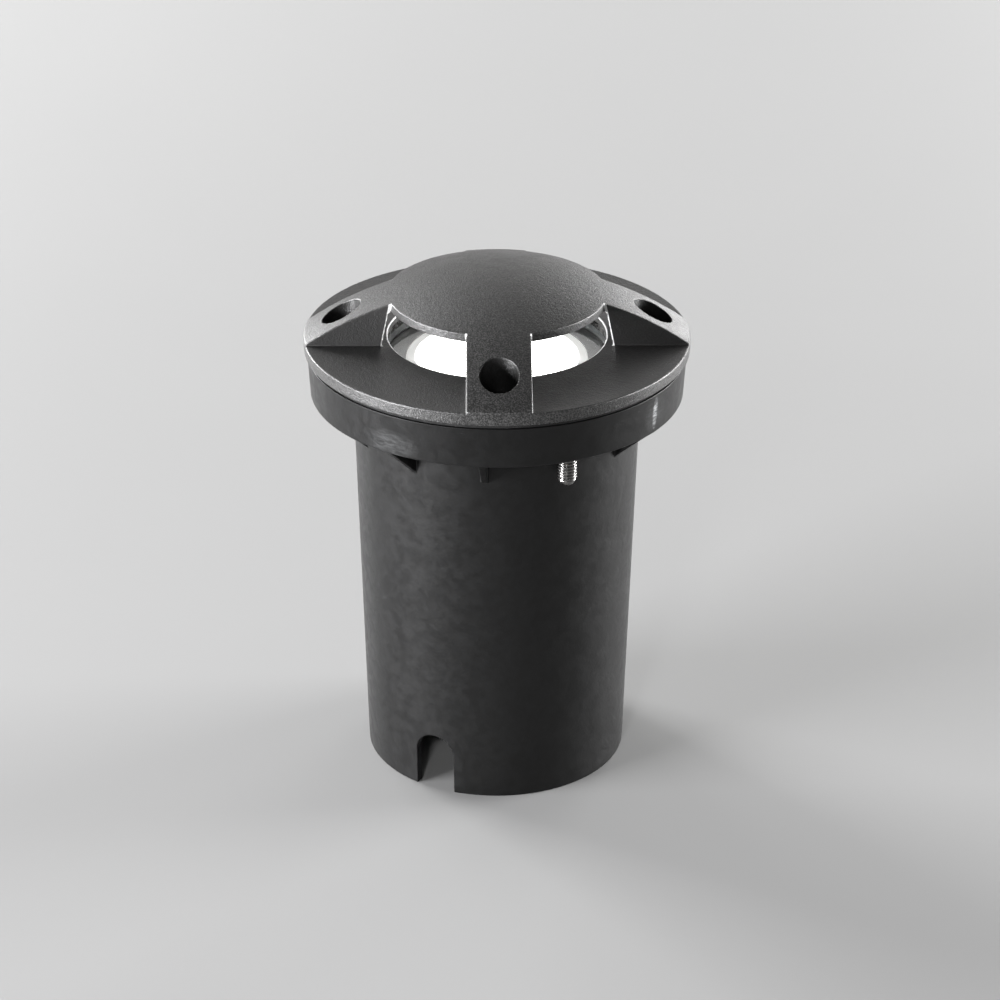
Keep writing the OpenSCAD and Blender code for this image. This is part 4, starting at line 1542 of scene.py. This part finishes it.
@dataclass
class LightFixture:
    """The glazed fixture: glass, diffuser, bezel, fixing screws and the nodes that stay.

    Sizes are in millimetres. bezel holds the corners of its section as (radius, height).
    """

    screws: BoltCircle
    screw_length: float = 22.0
    flange_z: float = 134.6
    glass: Band = Band(0.0, 37.5, 132.0, 138.0, 0.5)
    opal: Band = Band(0.0, 27.8, 129.2, 131.2, 0.4)
    bezel: tuple[tuple[float, float], ...] = (
        (26.9, 118.2), (28.1, 118.2), (28.1, 128.0), (29.15, 128.0), (29.15, 130.0), (34.0, 130.0),
        (34.0, 131.2), (27.95, 131.2), (27.95, 129.2), (26.9, 129.2))
    bezel_edge: float = 0.18
    kept: dict[str, str] = field(default_factory=lambda: {
        "housing": "cast_aluminium", "glass_gasket": "silicone", "clamp_ring": "stainless",
        "clamp_screws": "stainless", "led_board": "board_white", "led_chips": "led_phosphor",
        "board_screws": "stainless", "heat_spreader": "machined_aluminium",
        "spreader_screws": "stainless", "led_leads": "lead_sheath", "driver_case": "driver_plastic",
        "driver_screws": "stainless", "terminal_block": "terminal_plastic",
        "terminal_screws": "stainless", "gland_body": "gland_nylon", "gland_washer": "black_rubber",
        "gland_locknut": "gland_nylon", "gland_seal": "black_rubber", "gland_nut": "gland_nylon"})

    def build(self) -> None:
        """Builds the glazing, the bezel and the fixing screws, and dresses the nodes that stay."""
        dress(self.glass.turned("glass_disc"), "clear_glass", "fixture", "glass_lens")
        dress(self.opal.turned("opal_disc"), "opal_plastic", "fixture", "diffuser")
        bezel = turned("bright_bezel", rounded(self.bezel, self.bezel_edge))
        dress(bezel, "reflector_aluminium", "fixture", "reflector")
        screw = Screw(self.screw_length, self.flange_z).make("fixing_screw")
        RING.lay("fixing_screw_set", screw, self.screws, "stainless", "fixture", "fixing_screws")
        for node, slot in self.kept.items():
            dress_node(node, slot)


# Studio


@dataclass(frozen=True)
class Floor(Finish):
    """Plain pale floor with a hardly visible brushed unevenness."""

    shade: float = 0.327
    darker: float = 0.985
    tint_size: float = 0.35
    rough: float = 0.62
    shine: float = 0.3

    def material(self) -> bpy.types.Material:
        """Pale matte paint, a little uneven.

        Returns:
            The material.
        """
        surface = Surface(self.name)
        tint = surface.blend(surface.clouds(self.tint_size), rgb(self.shade * self.darker), rgb(self.shade))
        return surface.done({"Base Color": tint, "Roughness": self.rough, "Specular IOR Level": self.shine})


@dataclass(frozen=True)
class Lamp:
    """One soft area light: its place and size in metres, power in watts and spread in degrees."""

    name: str
    place: tuple[float, float, float]
    size: tuple[float, float]
    power: float
    colour: tuple[float, float, float] = (1.0, 1.0, 1.0)
    spread: float = 180.0
    aim: tuple[float, float, float] = (0.0, 0.0, 0.09)

    def add(self) -> None:
        """Adds the light to the scene, turned towards its aim."""
        data = bpy.data.lights.new(self.name, "AREA")
        data.shape = "RECTANGLE"
        data.size, data.size_y = self.size
        data.energy = self.power
        data.spread = math.radians(self.spread)
        data.color = self.colour
        lamp = bpy.data.objects.new(self.name, data)
        lamp.location = self.place
        lamp.rotation_euler = (Vector(self.aim) - Vector(self.place)).to_track_quat("-Z", "Y").to_euler()
        bpy.context.scene.collection.objects.link(lamp)


@dataclass
class Studio:
    """Floor, soft lights, a sky brighter at the back, and the camera at the photograph's angle.

    eye, aim, lens and sensor are in millimetres, roll in degrees, and the rest in metres.
    """

    eye: tuple[float, float, float] = (-13.757, -980.751, 573.493)
    aim: tuple[float, float, float] = (1.0998, 0.0, 84.6366)
    roll: float = 0.20697
    lens: float = 124.082
    sensor: float = 36.0
    nearest: float = 0.05
    farthest: float = 20.0
    floor_half: float = 4.0
    sky_colour: tuple[float, float, float, float] = (1.0, 0.99, 0.98, 1.0)
    sky_back: float = 0.7
    sky_right: float = 0.48
    sky_all: float = 0.02
    lamps: tuple[Lamp, ...] = (
        Lamp("side_left", (-1.70, -0.60, 0.23), (1.2, 0.4), 142.0, (0.985, 0.985, 1.0), aim=(0.0, 1.0, 0.09)),
        Lamp("back_left", (-1.45, 1.25, 0.50), (0.8, 0.7), 66.0),
        Lamp("side_right", (1.83, 0.66, 0.25), (1.05, 0.44), 108.0, aim=(0.0, 0.8, 0.09)),
        Lamp("back_right", (1.06, 1.94, 0.50), (0.9, 0.6), 17.0),
        Lamp("high_key", (-1.00, 1.50, 1.50), (0.9, 0.9), 12.0),
        Lamp("notch_fill", (-0.17, -0.82, 0.50), (0.1, 0.1), 0.06, spread=26.0, aim=(-0.02, -0.04, 0.0)))

    def camera(self) -> None:
        """Adds the camera."""
        eye, aim = Vector(self.eye) * MM, Vector(self.aim) * MM
        ahead = (aim - eye).normalized()
        level = ahead.cross(Vector((0, 0, 1))).normalized()
        rise = level.cross(ahead)
        turn = math.radians(self.roll)
        right = level * math.cos(turn) + rise * math.sin(turn)
        up = rise * math.cos(turn) - level * math.sin(turn)
        data = bpy.data.cameras.new("camera")
        data.lens, data.sensor_width, data.sensor_fit = self.lens, self.sensor, "HORIZONTAL"
        data.clip_start, data.clip_end = self.nearest, self.farthest
        camera = bpy.data.objects.new("camera", data)
        camera.matrix_world = Matrix((
            (right.x, up.x, -ahead.x, eye.x), (right.y, up.y, -ahead.y, eye.y),
            (right.z, up.z, -ahead.z, eye.z), (0, 0, 0, 1)))
        bpy.context.scene.collection.objects.link(camera)
        bpy.context.scene.camera = camera

    def floor(self) -> None:
        """Adds the floor, which isn't part of the light."""
        half = self.floor_half
        mesh = bpy.data.meshes.new("studio_floor")
        mesh.from_pydata([(-half, -half, 0), (half, -half, 0), (half, half, 0), (-half, half, 0)], [],
                         [(0, 1, 2, 3)])
        floor = in_scene("studio_floor", mesh)
        floor.data.materials.append(Floor("floor_paint", "floor").material())

    def sky(self) -> None:
        """Adds the sky, brighter towards the back and the right."""
        world = bpy.data.worlds.new("studio_sky")
        world.use_nodes = True
        tree = world.node_tree
        right, back, _ = xyz(tree, put(tree, "ShaderNodeTexCoord").outputs["Generated"])
        back = sums(tree, "MULTIPLY", sums(tree, "MAXIMUM", back, 0.0), self.sky_back)
        right = sums(tree, "MULTIPLY", sums(tree, "MAXIMUM", right, 0.0), self.sky_right)
        glow = sums(tree, "ADD", sums(tree, "ADD", back, right), self.sky_all)
        fill(tree, tree.nodes["Background"], {"Color": self.sky_colour, "Strength": glow})
        bpy.context.scene.world = world

    def build(self) -> None:
        """Adds the floor, the sky, the lights and the camera."""
        self.floor()
        self.sky()
        for lamp in self.lamps:
            lamp.add()
        settings = bpy.context.scene.view_settings
        settings.view_transform = "Standard"
        settings.look = "None"
        self.camera()


def main() -> None:
    """Builds the sleeve, the fixture, the guard and the studio."""
    logging.basicConfig(level=logging.INFO, format="%(name)s: %(message)s")
    sleeve = GroundSleeve()
    sleeve.build()
    LightFixture(sleeve.screws).build()
    GuardCover().build()
    Studio().build()


if __name__ == "__main__":
    main()
